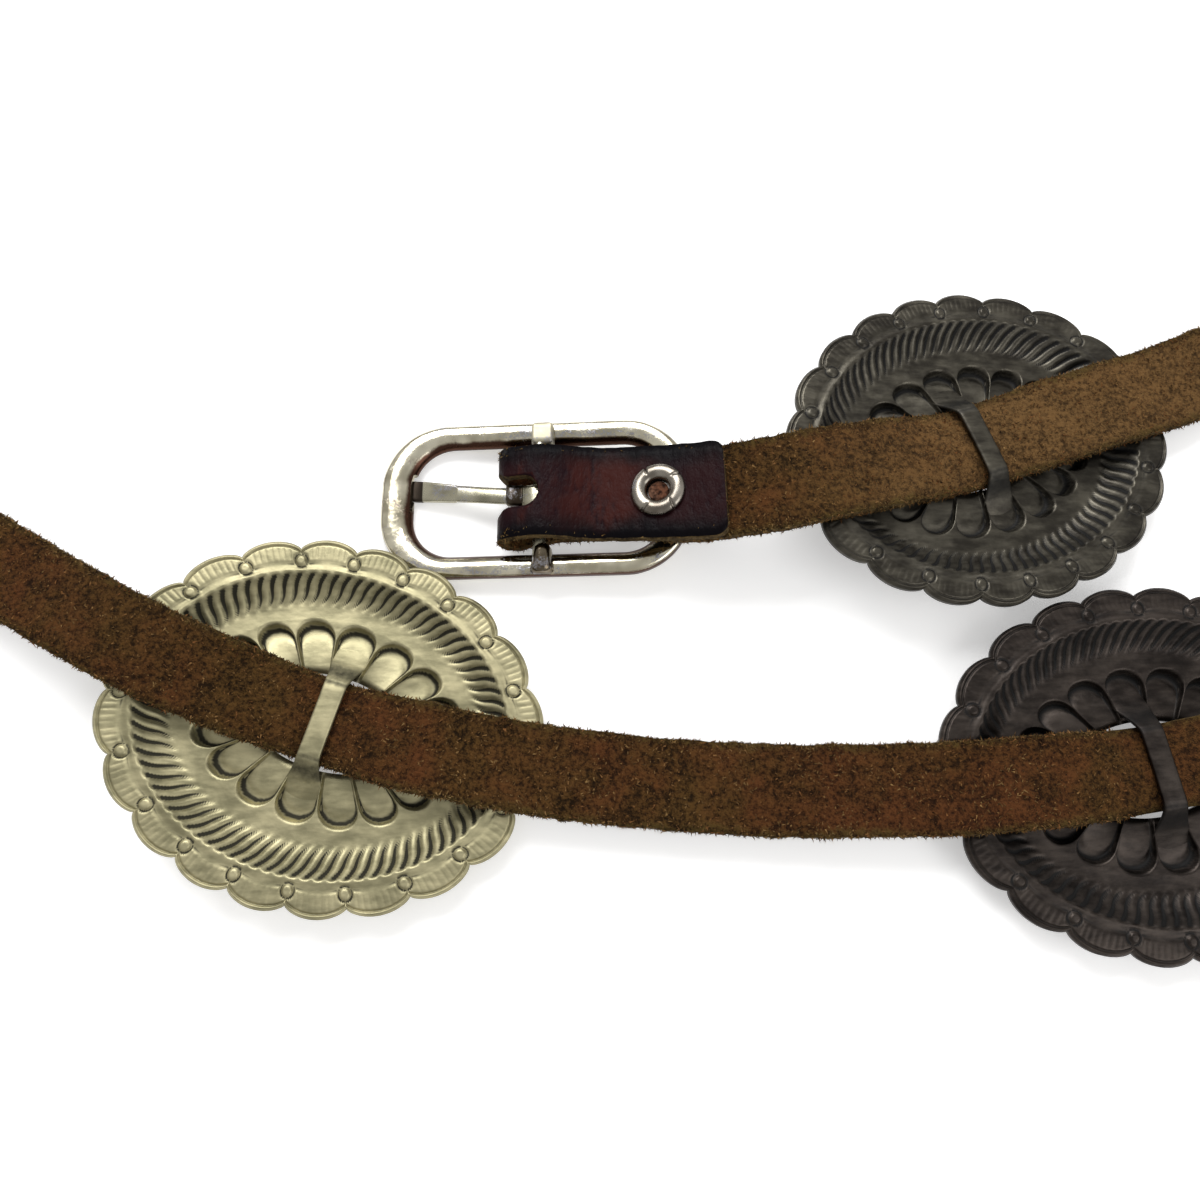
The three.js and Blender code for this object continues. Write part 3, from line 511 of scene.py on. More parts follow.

# %% [markdown]
# The conchos are a grey nickel alloy. The first two from the buckle are given darker, nearly black
# copies of the metal and the other four a pale, yellowish one. On all of them, dirt and painted shade
# darken the grooves, which the mesh knows from an attribute called hollow, and the raised places are
# rubbed bright.

# %% Metal of the conchos
def concho_finish(name, light, middle, dark, roughness):
    """Metal whose hollows are darkened by dirt and painted shade, and whose raised places are rubbed."""
    f = Finish(name)
    hollow = f.attribute("hollow")
    cloud = f.noise(9, 4)
    fine = f.noise(1.1, 4)
    brushed = f.noise(2.0, 3, stretch=(0.45, 1.4, 1))
    # dirt and painted shade: hollows and rope grooves are made darker, duller and less metallic
    dirt_and_shade = (hollow * 1.25 + (fine - 0.5) * 0.5 + (cloud - 0.5) * 0.35).clamp()
    worn = f.mix((cloud * 0.7 + brushed * 0.55 - 0.12).between(0.3, 0.75), middle, light)
    f.set("Base Color", f.mix(dirt_and_shade.between(0.12, 0.85), worn, dark))
    f.set("Metallic", (dirt_and_shade * -0.55 + 0.95).clamp())
    f.set("Roughness", (dirt_and_shade * 0.35 + (brushed - 0.5) * 0.25 + roughness).clamp())
    f.raise_by(brushed * 0.4 + fine * 0.8, 0.12, 0.45)
    return f.material


pale_metal = concho_finish("pale_metal", srgb(190, 182, 146), srgb(138, 133, 104), srgb(44, 42, 30), 0.47)
dark_metal = concho_finish("dark_metal", srgb(96, 92, 82), srgb(54, 51, 46), srgb(10, 9, 8), 0.36)
brown_metal = concho_finish("brown_metal", srgb(72, 65, 60), srgb(38, 34, 32), srgb(8, 7, 7), 0.4)
# the first two conchos get the darker copies of the metal
CONCHO_METAL = [dark_metal, brown_metal, pale_metal, pale_metal, pale_metal, pale_metal]
CONCHO_SLOT = ["concho_dark"] * 2 + ["concho_pale"] * 4
# how strongly the hollows of each part are darkened, as dirt and painted shade
FLANGE_DIRT_AND_SHADE, WALL_DIRT_AND_SHADE, BAND_DIRT_AND_SHADE, PETAL_DIRT_AND_SHADE, FRONT_DIRT_AND_SHADE = 0.7, 0.36, 1.0, 0.72, 0.3
# more columns for the conchos that the camera sees
CONCHO_COLUMNS = [1120, 960, 1200, 480, 480, 480]

# %% [markdown]
# The strap passes under a bar in the middle of each concho. The bar was cut from the same sheet
# and pressed up, so it is a strip that bends down at both ends and runs into the two petals there.

# %% Bar of a concho
BAR_END = 16.9
BAR_CREASE = 7.35
# across, top, half width, thickness
BAR_ROWS = [
    (BAR_END, 0.75, 2.6, 0.4),
    (15.4, 1.25, 3.6, 0.6),
    (13.6, 2.1, 3.95, 0.8),
    (12.0, 3.05, 3.5, 0.9),
    (10.5, 4.35, 2.85, 1.0),
    (9.2, 5.6, 2.45, 1.0),
    (7.9, 6.7, 2.24, 1.0),
    (7.2, BAR_TOP, 2.16, 1.0),
    (3.0, BAR_TOP + 0.06, 2.12, 1.0),
    (0.0, BAR_TOP + 0.08, 2.12, 1.0),
]


def bar_strip(columns=16):
    """Points and faces of a bar, and how stained each point is."""
    table = np.array(BAR_ROWS)
    table = np.concatenate([table, (table * [-1, 1, 1, 1])[-2::-1]])
    slopes = [np.linspace(BAR_END, 7.5, 28), np.linspace(-7.5, -BAR_END, 28)]
    reach = np.concatenate([slopes[0], np.linspace(7.2, -7.2, 20), slopes[1]])
    top, half, thick = (np.interp(-reach, -table[:, 0], table[:, k]) for k in (1, 2, 3))
    crease = bump(np.abs(reach) - BAR_CREASE, 0.35) * 0.18
    c = np.linspace(-1, 1, columns)
    loops = []
    for y, z, w, h, fold in zip(reach, top, half, thick, crease):
        upper = np.stack([c * w, np.full(columns, y), z - fold - 0.16 * c**6 - 0.05 * c**2], 1)
        lower = np.stack([c[::-1] * w, np.full(columns, y), np.full(columns, z - h)], 1)
        loops.append(np.concatenate([upper, lower]))
    stain = bump(np.abs(reach) - 9.8, 2.2) * 0.5 + bump(np.abs(reach) - BAR_CREASE, 0.4) * 0.3
    return *tube_mesh(loops), np.repeat(stain, 2 * columns)

# %% [markdown]
# Dirt and painted shade darken the places that lie lower than what surrounds them. The grid gives
# that directly: a smoothed copy of its heights stands above them in every hollow. The sheet and its
# bar are then one mesh, put on the belt by the place worked out above.

# %% Whole conchos
def blurred(z, rows, columns):
    """Heights smoothed a few times along the rows and the columns of the grid."""
    for _ in range(rows):
        z = (z + np.concatenate([z[:1], z[:-1]]) + np.concatenate([z[1:], z[-1:]])) / 3
    for _ in range(columns):
        z = (z + np.roll(z, 1, 1) + np.roll(z, -1, 1)) / 3
    return z


def hollow_of(back):
    """How deep each point lies below its neighbours, from 0 to 1."""
    z = back[:, :, 2]
    near = blurred(z, 2, 8) - z
    far = blurred(z, 5, 24) - z
    counts = [len(RIM_ROWS) + len(FLANGE_ROWS), len(WALL_ROWS), len(BAND_ROWS), len(PETAL_ROWS)]
    amount = np.repeat([FLANGE_DIRT_AND_SHADE, WALL_DIRT_AND_SHADE, BAND_DIRT_AND_SHADE, PETAL_DIRT_AND_SHADE], counts)
    return np.clip(near * 3.4 + far * 0.8 - 0.04, 0, 1) * amount[:, None]


def point_attribute(obj, name, values):
    data = obj.data.attributes.new(name, "FLOAT", "POINT").data
    data.foreach_set("value", np.asarray(values, np.float32).ravel())


def make_concho(number, row, columns):
    back, dirt_and_shade = concho_grid(columns)
    front = back[FRONT_ROWS] - [0, 0, SHEET]
    sheet = ring_mesh(np.concatenate([back, front[::-1]]))
    bar_points, bar_faces, stain = bar_strip()
    hollow = np.clip(hollow_of(back) + dirt_and_shade, 0, 1).ravel()
    # the front, which faces the floor, is darkened evenly as dirt and painted shade
    hollow = np.concatenate([hollow, np.full(len(FRONT_ROWS) * columns, FRONT_DIRT_AND_SHADE), stain])
    points, faces = joined([sheet, (bar_points, bar_faces)])
    obj = mesh_object(f"concho_{number}_metal", points, faces, [CONCHO_METAL[number - 1]])
    point_attribute(obj, "hollow", hollow)
    place = row["place"].copy()
    place.translation = place.translation * MM
    obj.data.transform(place)
    obj.data.update()
    return obj


concho_pieces = []
for number, row in enumerate(conchos, 1):
    piece = make_concho(number, row, CONCHO_COLUMNS[number - 1])
    concho_pieces.append(piece)
    print(piece.name, len(piece.data.polygons), "faces")

# %% [markdown]
# The strap hangs from bar to bar. At each concho it is held up by the rims and pressed under the
# bar, and between conchos it sags. A smooth curve through those known heights never overshoots
# them, which is what tight leather does.

# %% Heights of the strap
# the sizes of the buckle's fold, as in the measured part
CROSSBAR_RADIUS = 1.4
CLEARANCE = 0.3
CURL_WALL = 0.9
FLOOR_GAP = 0.2
RIM_GAP = 0.8
GAP_SAG = 1.2
TAIL_DROP = 48.0
FRAME_THICKNESS = 3.2
BUCKLE_LENGTH = 66.0
RIVET_PLACE = 24.8
CAP_THICKNESS = 0.9
HALF = STRAP_THICKNESS / 2
FRONT_LAYER = -(CROSSBAR_RADIUS + CLEARANCE + HALF)
CURL_RADIUS = CROSSBAR_RADIUS + CLEARANCE + CURL_WALL
BACK_LAYER = CURL_RADIUS + CLEARANCE + HALF
FRAME_FRONT = FRONT_LAYER - HALF - FLOOR_GAP
FRAME_BACK = FRAME_FRONT + FRAME_THICKNESS
PITCH = math.radians(4)
CROSSBAR_HEIGHT = BUCKLE_LENGTH / 2 * math.sin(PITCH) - FRAME_FRONT * math.cos(PITCH)
LAYER_PITCH = STRAP_THICKNESS + CLEARANCE
GRIP_REACH = 20.0


def buckle_height(along, up):
    """Height over the floor of a place in the buckle, which is pitched a little."""
    return CROSSBAR_HEIGHT + along * math.sin(PITCH) + up * math.cos(PITCH)


def standing_height(s):
    """Height of the strap's middle where it lies on the floor or stands on its edge."""
    roll, width = on_route(s, "roll"), on_route(s, "width")
    return FLOOR_GAP + width / 2 * np.sin(roll) + HALF * np.cos(roll)


def concho_knots(row):
    """Heights at which the rims hold the strap up and the bar holds it down."""
    tip = math.radians(row["tip"])
    inner, outer = VALLEY_LENGTH - FLANGE_WIDTH, CONCHO_LENGTH / 2
    knots = []
    for reach in (-outer, -inner, inner, outer):
        rim = row["z"] + FLANGE_HEIGHT * math.cos(tip) - reach * math.sin(tip)
        knots.append((row["bar"] + reach, rim + RIM_GAP + HALF))
    held = row["z"] + (BAR_TOP - SHEET) * math.cos(tip) - CLEARANCE - HALF
    return knots + [(row["bar"], held)]


def strap_knots():
    over_frame = FRAME_BACK + CLEARANCE * 2 + CAP_THICKNESS + HALF
    knots = [(0.0, buckle_height(0, FRONT_LAYER)), (RIVET_PLACE, buckle_height(RIVET_PLACE, over_frame))]
    for row in conchos:
        knots += concho_knots(row)
    rims = sorted(knots)
    for row in route["stations"]:
        middle = (row["start"] + row["end"]) / 2
        if row["over"] == "gap":
            before = [z for s, z in rims if s < row["start"] + 1][-1]
            after = [z for s, z in rims if s > row["end"] - 1][0]
            knots.append((middle, (before + after) / 2 - GAP_SAG))
        if row["over"] == "bend":
            places = [middle] + ([row["end"]] if row["edge"] else [])
            knots += [(s, float(standing_height(s))) for s in places]
        if row["over"] == "tail":
            knots += [(s, HALF + FLOOR_GAP) for s in (row["start"] + TAIL_DROP, row["end"])]
    return np.array(sorted(knots))


def hung_heights(places):
    """A smooth curve through the knots that never goes past them."""
    s, z = strap_knots().T
    slope = np.diff(z) / np.diff(s)
    same = slope[:-1] * slope[1:] > 0
    inner = np.where(same, 2 * slope[:-1] * slope[1:] / np.where(same, slope[:-1] + slope[1:], 1), 0)
    slopes = np.concatenate([[slope[0]], inner, [slope[-1]]])
    i = np.clip(np.searchsorted(s, places) - 1, 0, len(s) - 2)
    width = s[i + 1] - s[i]
    t = (places - s[i]) / width
    ma, mb = slopes[i] * width, slopes[i + 1] * width
    curve = z[i] * (1 - t) ** 2 * (1 + 2 * t) + ma * t * (1 - t) ** 2
    curve = curve + z[i + 1] * t * t * (3 - 2 * t) - mb * t * t * (1 - t)
    return np.where(t < 0, z[i] + ma * t, curve)


def strap_height(s):
    return np.maximum(hung_heights(s), standing_height(s))


def strap_frames(s):
    """Middle, directions and width of the strap at each place along it, as in the measured part."""
    s = np.asarray(s, float)
    heading, roll = on_route(s, "heading"), on_route(s, "roll")
    slope = strap_height(s + 0.5) - strap_height(s - 0.5)
    along = np.stack([np.cos(heading), np.sin(heading), slope], 1)
    along /= np.linalg.norm(along, axis=1)[:, None]
    left = np.stack([-np.sin(heading), np.cos(heading), 0 * s], 1)
    up = np.cross(along, left)
    c, r = np.cos(roll)[:, None], np.sin(roll)[:, None]
    centre = np.stack([on_route(s, "x") + shift_x, on_route(s, "y") + shift_y, strap_height(s)], 1)
    return dict(centre=centre, along=along, across=left * c + up * r, normal=up * c - left * r,
                width=on_route(s, "width"))


def grip(s):
    """How much the strap is held under a bar, from 1 at the bar to 0."""
    return np.max([1 - smoothstep(np.abs(s - row["bar"]) / GRIP_REACH) for row in conchos], axis=0)


print("strap heights in mm", np.round(strap_height(np.array([0.0, 94.0, 300.0, 600.0])), 2))

# %% [markdown]
# The leather is one closed strip, lofted from sections. Its top is split suede and its underside
# is the smooth grain side. At the buckle it turns over the crossbar, so there the grain side shows.
# The cut edges wander a little, and the suede side is not quite even.

# %% The leather strip
BAR_SQUEEZE = 0.9
BAR_CROWN = 1.9
TAB_LENGTH = 38.4
TAB_SETTLE = 15.0
TAB_CORNER = 2.2
TAB_OVERHANG = 0.9
FOLD_REACH = 8.0
TOP_COLUMNS = np.linspace(-0.985, 0.985, 21)
LOW_COLUMNS = np.linspace(0.985, -0.985, 11)
EDGE = [(0.997, 0.72), (1.0, 0.0), (0.997, -0.72)]
SECTION = np.array([(c, 1.0) for c in TOP_COLUMNS] + EDGE + [(c, -1.0) for c in LOW_COLUMNS]
                   + [(-c, -h) for c, h in EDGE])
SUEDE, GRAIN, RAW = 0, 1, 2
# size of the lumps, seed, rise
UNEVEN = [(5.5, 9, 0.14), (2.0, 4, 0.17), (1.1, 2, 0.1)]
# size of the lumps, seed, rise
EDGE_WANDER = [(7.0, 0, 0.3), (1.9, 3, 0.24)]
EDGE_TRIM = 0.15
EDGE_MATERIAL = [RAW] * (len(EDGE) + 1)
COLUMN_MATERIAL = ([SUEDE] * (len(TOP_COLUMNS) - 1) + EDGE_MATERIAL
                   + [GRAIN] * (len(LOW_COLUMNS) - 1) + EDGE_MATERIAL)


def lumps(points, size, seed):
    """Smooth noise from -1 to 1 with lumps of a size in millimetres."""
    shift = Vector((seed * 17.3, seed * 5.1, 0))
    return np.array([noise.noise(Vector(p) / size + shift) for p in points])


def leather_rows(frame, half, crown, side_seed, rough):
    """The strip's section at each place: its half width, its crown and how rough it is are given."""
    c, h = SECTION[:, 0], SECTION[:, 1]
    wander = [sum(lumps(frame["centre"], size, side + seed) * rise for size, seed, rise in EDGE_WANDER)
              for side in (side_seed, side_seed + 1)]
    wander = np.where(c < 0, wander[0][:, None], wander[1][:, None])
    reach = half[:, None] + wander * rough[:, None] - EDGE_TRIM
    out = frame["centre"][:, None, :] + frame["across"][:, None, :] * (c * reach)[:, :, None]
    drop = h * HALF - crown[:, None] * c**2
    out = out + frame["normal"][:, None, :] * drop[:, :, None]
    flat = out.reshape(-1, 3)
    uneven = sum(lumps(flat, size, seed) * rise for size, seed, rise in UNEVEN)
    uneven = uneven.reshape(out.shape[:2]) * rough[:, None] * (h > 0.9)
    return out + frame["normal"][:, None, :] * uneven[:, :, None]

# %% [markdown]
# The strip has three stretches. The tab is the end that lies back over the run with its grain side
# up, the fold is the half turn round the crossbar, and the run goes on to the tip. Each works out
# its own places and hands them to the same section.

# %% Tab, fold and run
TAB_ROUGHNESS = 0.7
TAB_SEED, RUN_SEED = 2, 5
# the two strands that the camera sees, from and to
SEEN_STRANDS = [(0.0, 200.0), (400.0, 700.0)]
FINE_STEP, PLAIN_STEP = 0.75, 1.9
# distances from the cut end and shares of the tip's radius, closer together where the outline turns
TAB_END_ROWS = np.array([0.0, 0.12, 0.4, 0.9, 1.5])
TIP_ROWS = np.array([1, 0.85, 0.7, 0.55, 0.4, 0.28, 0.18, 0.1, 0.04, 0.01])


def tab_rows():
    """The end of the strap, which lies back over the run with its rough side down."""
    s = np.concatenate([TAB_LENGTH - TAB_END_ROWS, np.linspace(TAB_LENGTH - TAB_CORNER, 0.0, 56)])
    frame = strap_frames(s)
    lift = mix(BACK_LAYER - FRONT_LAYER, LAYER_PITCH, smoothstep(s / TAB_SETTLE))
    frame["centre"] = frame["centre"] + frame["normal"] * lift[:, None]
    frame["normal"] = -frame["normal"]
    cut = np.clip(TAB_CORNER - (TAB_LENGTH - s), 0, TAB_CORNER)
    half = STRAP_WIDTH / 2 - TAB_CORNER + np.sqrt(TAB_CORNER**2 - cut**2)
    return leather_rows(frame, half, 0 * s, TAB_SEED, TAB_ROUGHNESS + 0 * s), s - TAB_LENGTH


def fold_rows():
    """The half turn round the crossbar."""
    start = strap_frames([0.0])
    radius = (BACK_LAYER - FRONT_LAYER) / 2
    turn = np.linspace(np.pi / 2, 3 * np.pi / 2, 22)[1:-1]
    out = start["along"] * np.cos(turn)[:, None] + start["normal"] * np.sin(turn)[:, None]
    middle = start["centre"] + start["normal"] * radius + start["along"] * (radius + HALF - FOLD_REACH)
    count = len(turn)
    frame = dict(centre=middle + out * radius, across=np.repeat(start["across"], count, 0), normal=-out)
    half = np.full(count, STRAP_WIDTH / 2)
    return leather_rows(frame, half, 0 * turn, TAB_SEED, TAB_ROUGHNESS + 0 * turn), 0 * turn


def main_rows():
    """The run from the crossbar to the round tip, with closer rows where the camera sees it."""
    length = route["length"]
    tip = on_route(length, "width") / 2
    (start, pause), (again, stop) = SEEN_STRANDS
    stretches = [(start, pause, FINE_STEP), (pause, again, PLAIN_STEP),
                 (again, stop, FINE_STEP), (stop, length - tip, PLAIN_STEP)]
    from_tip = tip * TIP_ROWS
    s = np.concatenate([np.arange(*stretch) for stretch in stretches] + [length - from_tip])
    hold = grip(s)
    # the tab stands out a little beyond the run below it, up to its own cut end
    under_tab = 1 - smoothstep((s - 18) / 14)
    half = (on_route(s, "width") - BAR_SQUEEZE * hold) / 2 - TAB_OVERHANG * under_tab
    half[-len(from_tip):] = np.sqrt(tip**2 - (tip - from_tip) ** 2)
    rough = 1 - 0.8 * smoothstep(hold)
    return leather_rows(strap_frames(s), half, BAR_CROWN * hold, RUN_SEED, rough), s


def face_outwards(obj):
    """Faces turned over if the closed mesh is inside out."""
    body = bmesh.new()
    body.from_mesh(obj.data)
    if body.calc_volume(signed=True) < 0:
        bmesh.ops.reverse_faces(body, faces=body.faces)
    body.to_mesh(obj.data)
    body.free()

# %% [markdown]
# Leather needs three finishes. Suede is dull, brown and fibrous, the grain side is dark, reddish
# and polished by wear, and the raw edge is an olive tan fuzz. All of them are mixed from noises of
# a few sizes, read in object coordinates, so they stay on the leather when it is seen from
# any side. Two attributes say where a point lies along and across the strap.

# %% Leather finishes
LEATHER_ROUGHNESS = 0.95
LEATHER_SHEEN = 0.1
GRAIN_SHEEN = 0.045


def set_dull(f):
    f.set("Roughness", LEATHER_ROUGHNESS)
    f.set("Specular IOR Level", LEATHER_SHEEN)


def suede_finish():
    """Brown fibres in tufts, greyer where faded and greener at the edges."""
    f = Finish("suede")
    across = f.attribute("across")
    wide = f.noise(26, 2)
    patch = f.noise(6, 3)
    tuft = f.noise(1.6, 4, rough=0.72)
    grainy = f.noise(0.8, 4, rough=0.8)
    pit = f.cells(1.5)
    along = f.attribute("along")
    faded = along.between(35, 95) * (1 - along.between(200, 300))
    tone = (tuft * 0.85 + grainy * 0.85 + patch * 0.45 + faded * 0.02 - 0.57).between(0.24, 0.74)
    cold_dark = f.mix(faded, srgb(32, 21, 8), srgb(58, 42, 24))
    cold_light = f.mix(faded, srgb(92, 66, 33), srgb(122, 92, 56))
    warm_dark = f.mix(faded, srgb(40, 22, 11), srgb(56, 38, 22))
    warm_light = f.mix(faded, srgb(96, 58, 31), srgb(116, 80, 46))
    cold = f.mix(tone, cold_dark, cold_light)
    warm = f.mix(tone, warm_dark, warm_light)
    base = f.mix((wide * 0.7 + patch * 0.4).between(0.4, 0.72) * (1 - faded * 0.8), cold, warm)
    edge = (across.math("ABSOLUTE") + (tuft - 0.5) * 0.5 + (patch - 0.5) * 0.4).between(0.78, 1.02)
    f.set("Base Color", f.mix(edge * 0.75, base, f.mix(tone, srgb(22, 18, 7), srgb(84, 70, 36))))
    set_dull(f)
    f.raise_by(tuft * 0.7 + grainy * 0.9 + pit * 0.3, 0.95, 1.0)
    return f.material


def hair_finish(name, dark, light, warm):
    """The colour changes from fibre to fibre."""
    f = Finish(name)
    tone = f.noise(0.9, 2).between(0.3, 0.7)
    patch = f.noise(7, 2).between(0.35, 0.65)
    f.set("Base Color", f.mix(tone, dark, f.mix(patch, light, warm)))
    set_dull(f)
    return f.material


def raw_finish():
    f = Finish("raw_edge")
    tuft = f.noise(0.9, 4, rough=0.7)
    patch = f.noise(6, 3)
    tone = (tuft * 0.8 + patch * 0.5 - 0.15).between(0.25, 0.75)
    f.set("Base Color", f.mix(tone, srgb(26, 18, 8), srgb(104, 86, 56)))
    set_dull(f)
    f.raise_by(tuft, 0.6, 1.0)
    return f.material


def grain_finish():
    """Nearly black at the sides, with red showing through in the middle of the tab."""
    f = Finish("grain_side")
    across = f.attribute("across")
    patch = f.noise(9, 3)
    wrinkle = f.noise(2.6, 4, stretch=(1.5, 0.7, 1), rough=0.62)
    pores = f.noise(0.5, 3)
    red = f.noise(8, 3, stretch=(1.6, 0.4, 1))
    rim = (across.math("ABSOLUTE") + (patch - 0.5) * 0.6 + (wrinkle - 0.5) * 0.2).between(0.4, 0.95)
    # how far a point of the tab is from its cut end
    back = f.attribute("along") * -1
    ruddy = back.between(14, 20) * (1 - back.between(26, 37)) * 0.75 + 0.25
    stain = (red * 0.7 + wrinkle * 0.6 - 0.15).between(0.3, 0.58) * ruddy
    centre = f.mix(stain, srgb(24, 10, 15), srgb(54, 22, 18))
    f.set("Base Color", f.mix(rim, centre, srgb(9, 7, 10)))
    f.set("Roughness", (wrinkle * 0.5 + 0.12).clamp())
    f.set("Specular IOR Level", GRAIN_SHEEN)
    f.raise_by(wrinkle * 1.0 + pores * 0.15, 0.6, 0.6)
    return f.material


LEATHER = [suede_finish(), grain_finish(), raw_finish()]
NAP = hair_finish("nap", srgb(34, 22, 11), srgb(136, 106, 66), srgb(120, 80, 46))
FRINGE = hair_finish("fringe", srgb(48, 36, 18), srgb(132, 110, 72), srgb(112, 84, 46))

# %% [markdown]
# The tab, the fold and the run are one skin, as they are one piece of leather. Attributes on it say
# where each point lies, for the finishes, and how thick the nap and the fringe stand there.

# %% The strap in one piece
TAB_FRINGE = 0.1
NAP_INSIDE = 0.75
NAP_AT_EDGE = 1.9
# the hairs thin out over the last millimetres of each strand: from, to, from, to
THINNING = [(-40, -38, 196, 200), (400, 404, 690, 700)]
tab, tab_place = tab_rows()
fold, fold_place = fold_rows()
run, run_place = main_rows()
strap_rows = np.concatenate([tab, fold, run])
strap_places = np.concatenate([tab_place, fold_place, run_place])
points, faces = tube_mesh(strap_rows)
sides = np.concatenate([np.tile(COLUMN_MATERIAL, len(strap_rows) - 1), [RAW, RAW]])
strap = mesh_object("strap_leather", points, faces, LEATHER, sides)
face_outwards(strap)


def stretch_share(s):
    """One along the two strands that the camera sees, and nought elsewhere."""
    return sum(ramp(s, *stretch[:2]) * (1 - ramp(s, *stretch[2:])) for stretch in THINNING)


def nap_share(s):
    """How thick the nap is at each point of the strip: none on the grain side, most at the edges."""
    c, h = np.abs(SECTION[:, 0]), SECTION[:, 1]
    side = np.where(h > 0.9, NAP_INSIDE + 0.9 * ramp(c, 0.75, 0.98), 0.0)
    side = np.where((c > 0.98) & (h > -0.9), NAP_AT_EDGE, side)
    return np.where((s < 0)[:, None], 0.0, stretch_share(s)[:, None] * side)


def fringe_share(s):
    """Finer hairs stand only on the cut edges."""
    seen = np.where(s < 0, TAB_FRINGE, stretch_share(s))
    return seen[:, None] * (np.abs(SECTION[:, 0]) > 0.98)


point_attribute(strap, "across", np.tile(SECTION[:, 0], len(strap_rows)))
point_attribute(strap, "along", np.repeat(strap_places, len(SECTION)))
point_attribute(strap, "nap", nap_share(strap_places))
point_attribute(strap, "fringe", fringe_share(strap_places))
print("strap", len(strap.data.polygons), "faces")

# %% [markdown]
# Five holes in the tail, the slot for the tongue and the rivet's hole are cut with boolean
# modifiers. The two parts of the slot overlap a little at the fold, so the back one is cut first.
# All the other cutters are joined into one mesh, because one cut is quicker than seven.

# %% Cuts in the leather
SLOT_WIDTH = 6.8
SLOT_BACK_END = 0.4
SLOT_FRONT_END = 4.0
# beyond the crossbar, wider on each side
SLOT_FLARE = [
    (FOLD_REACH + 6, 5.0),
    (FOLD_REACH - 0.3, 1.0),
    (FOLD_REACH - 1.0, 0.35),
    (FOLD_REACH - 2.2, 0.0),
]
HOLE_RADIUS = 2.0
HOLE_PITCH = 25.4 / 1.4
HOLE_STEPS = 32
HOLE_COUNT = 5
FIRST_HOLE = 34.0
RIVET_BARREL = 3.0
START_TURN = math.radians(START_HEADING)
buckle_place = Matrix.Translation((shift_x, shift_y, CROSSBAR_HEIGHT)) @ Matrix.Rotation(START_TURN, 4, "Z")
buckle_place = buckle_place @ Matrix.Rotation(-PITCH, 4, "Y")


def moved(points, place):
    """Points in a piece's own place, moved to where the piece belongs."""
    matrix = np.array(place)
    return np.asarray(points) @ matrix[:3, :3].T + matrix[:3, 3]


def prism(outline, low, high):
    """Points and faces of a straight prism on an outline."""
    outline = np.asarray(outline)
    count = len(outline)
    points = np.concatenate([np.column_stack([outline, np.full(count, z)]) for z in (low, high)])
    faces = [[i, (i + 1) % count, (i + 1) % count + count, i + count] for i in range(count)]
    return points, faces + [list(range(count))[::-1], list(range(count, 2 * count))]


def slot_outline(end):
    """A slot with a round end, which spreads towards the outside of the fold."""
    half = SLOT_WIDTH / 2
    turn = np.linspace(-np.pi / 2, np.pi / 2, 13)
    arc = np.column_stack([end - half + half * np.cos(turn), half * np.sin(turn)])
    flare = np.array([(-along, -half - wider) for along, wider in SLOT_FLARE])
    return np.concatenate([flare, arc, flare[::-1] * [1, -1]])


def round_cutter(s, radius, reach):
    """A round punch that goes straight through the strap at one place."""
    frame = strap_frames([s])
    turn = np.arange(HOLE_STEPS) / HOLE_STEPS * 2 * np.pi
    points, faces = prism(np.column_stack([radius * np.cos(turn), radius * np.sin(turn)]), -reach, reach)
    axes = np.stack([frame["along"][0], frame["across"][0], frame["normal"][0]])
    return points @ axes + frame["centre"][0], faces


def made_plain(obj):
    """The evaluated shape of an object becomes its mesh, and its modifiers are removed."""
    bpy.context.view_layer.update()
    result = bpy.data.meshes.new_from_object(obj.evaluated_get(bpy.context.evaluated_depsgraph_get()))
    obj.modifiers.clear()
    obj.data = result


def cut(obj, cutter_parts, material):
    points, faces = joined(cutter_parts)
    cutter = mesh_object("cutter", points, faces, [material], smooth=False)
    face_outwards(cutter)
    modifier = obj.modifiers.new("cut", "BOOLEAN")
    modifier.operation = "DIFFERENCE"
    modifier.solver = "EXACT"
    modifier.material_mode = "TRANSFER"
    modifier.object = cutter
    made_plain(obj)
    bpy.data.objects.remove(cutter)


slots = []
for end, low, high in ((SLOT_BACK_END, 0.0, 16.0), (SLOT_FRONT_END, -16.0, 0.01)):
    points, faces = prism(slot_outline(end), low, high)
    slots.append((moved(points, buckle_place), faces))
hole_places = [route["length"] - FIRST_HOLE - k * HOLE_PITCH for k in range(HOLE_COUNT)]
holes = [round_cutter(place, HOLE_RADIUS, 4) for place in hole_places]
rivet_hole = round_cutter(RIVET_PLACE, RIVET_BARREL + CLEARANCE, 6)
cut(strap, slots[:1], LEATHER[RAW])
cut(strap, slots[1:] + holes + [rivet_hole], LEATHER[RAW])
print("cut strap", len(strap.data.polygons), "faces")

# %% [markdown]
# Split leather sheds short fibres, most of all along its cut edges. They are far too many to place
# by hand, so a Geometry Nodes tree scatters one bent, pointed hair over the strap where an
# attribute allows it: nap covers the rough side and fringe only the edges. The sizes, the seed and
# the attribute are inputs of the tree, so it serves for both.

# %% Nap of the suede
HAIR_LEAN = 450.0
NAP_INPUTS = {
    "Strap": "NodeSocketGeometry",
    "Hairs per m2": "NodeSocketFloat",
    "Hair length": "NodeSocketFloat",
    "Hair radius": "NodeSocketFloat",
    "Seed": "NodeSocketInt",
    "Where": "NodeSocketString",
    "Finish": "NodeSocketMaterial",
}


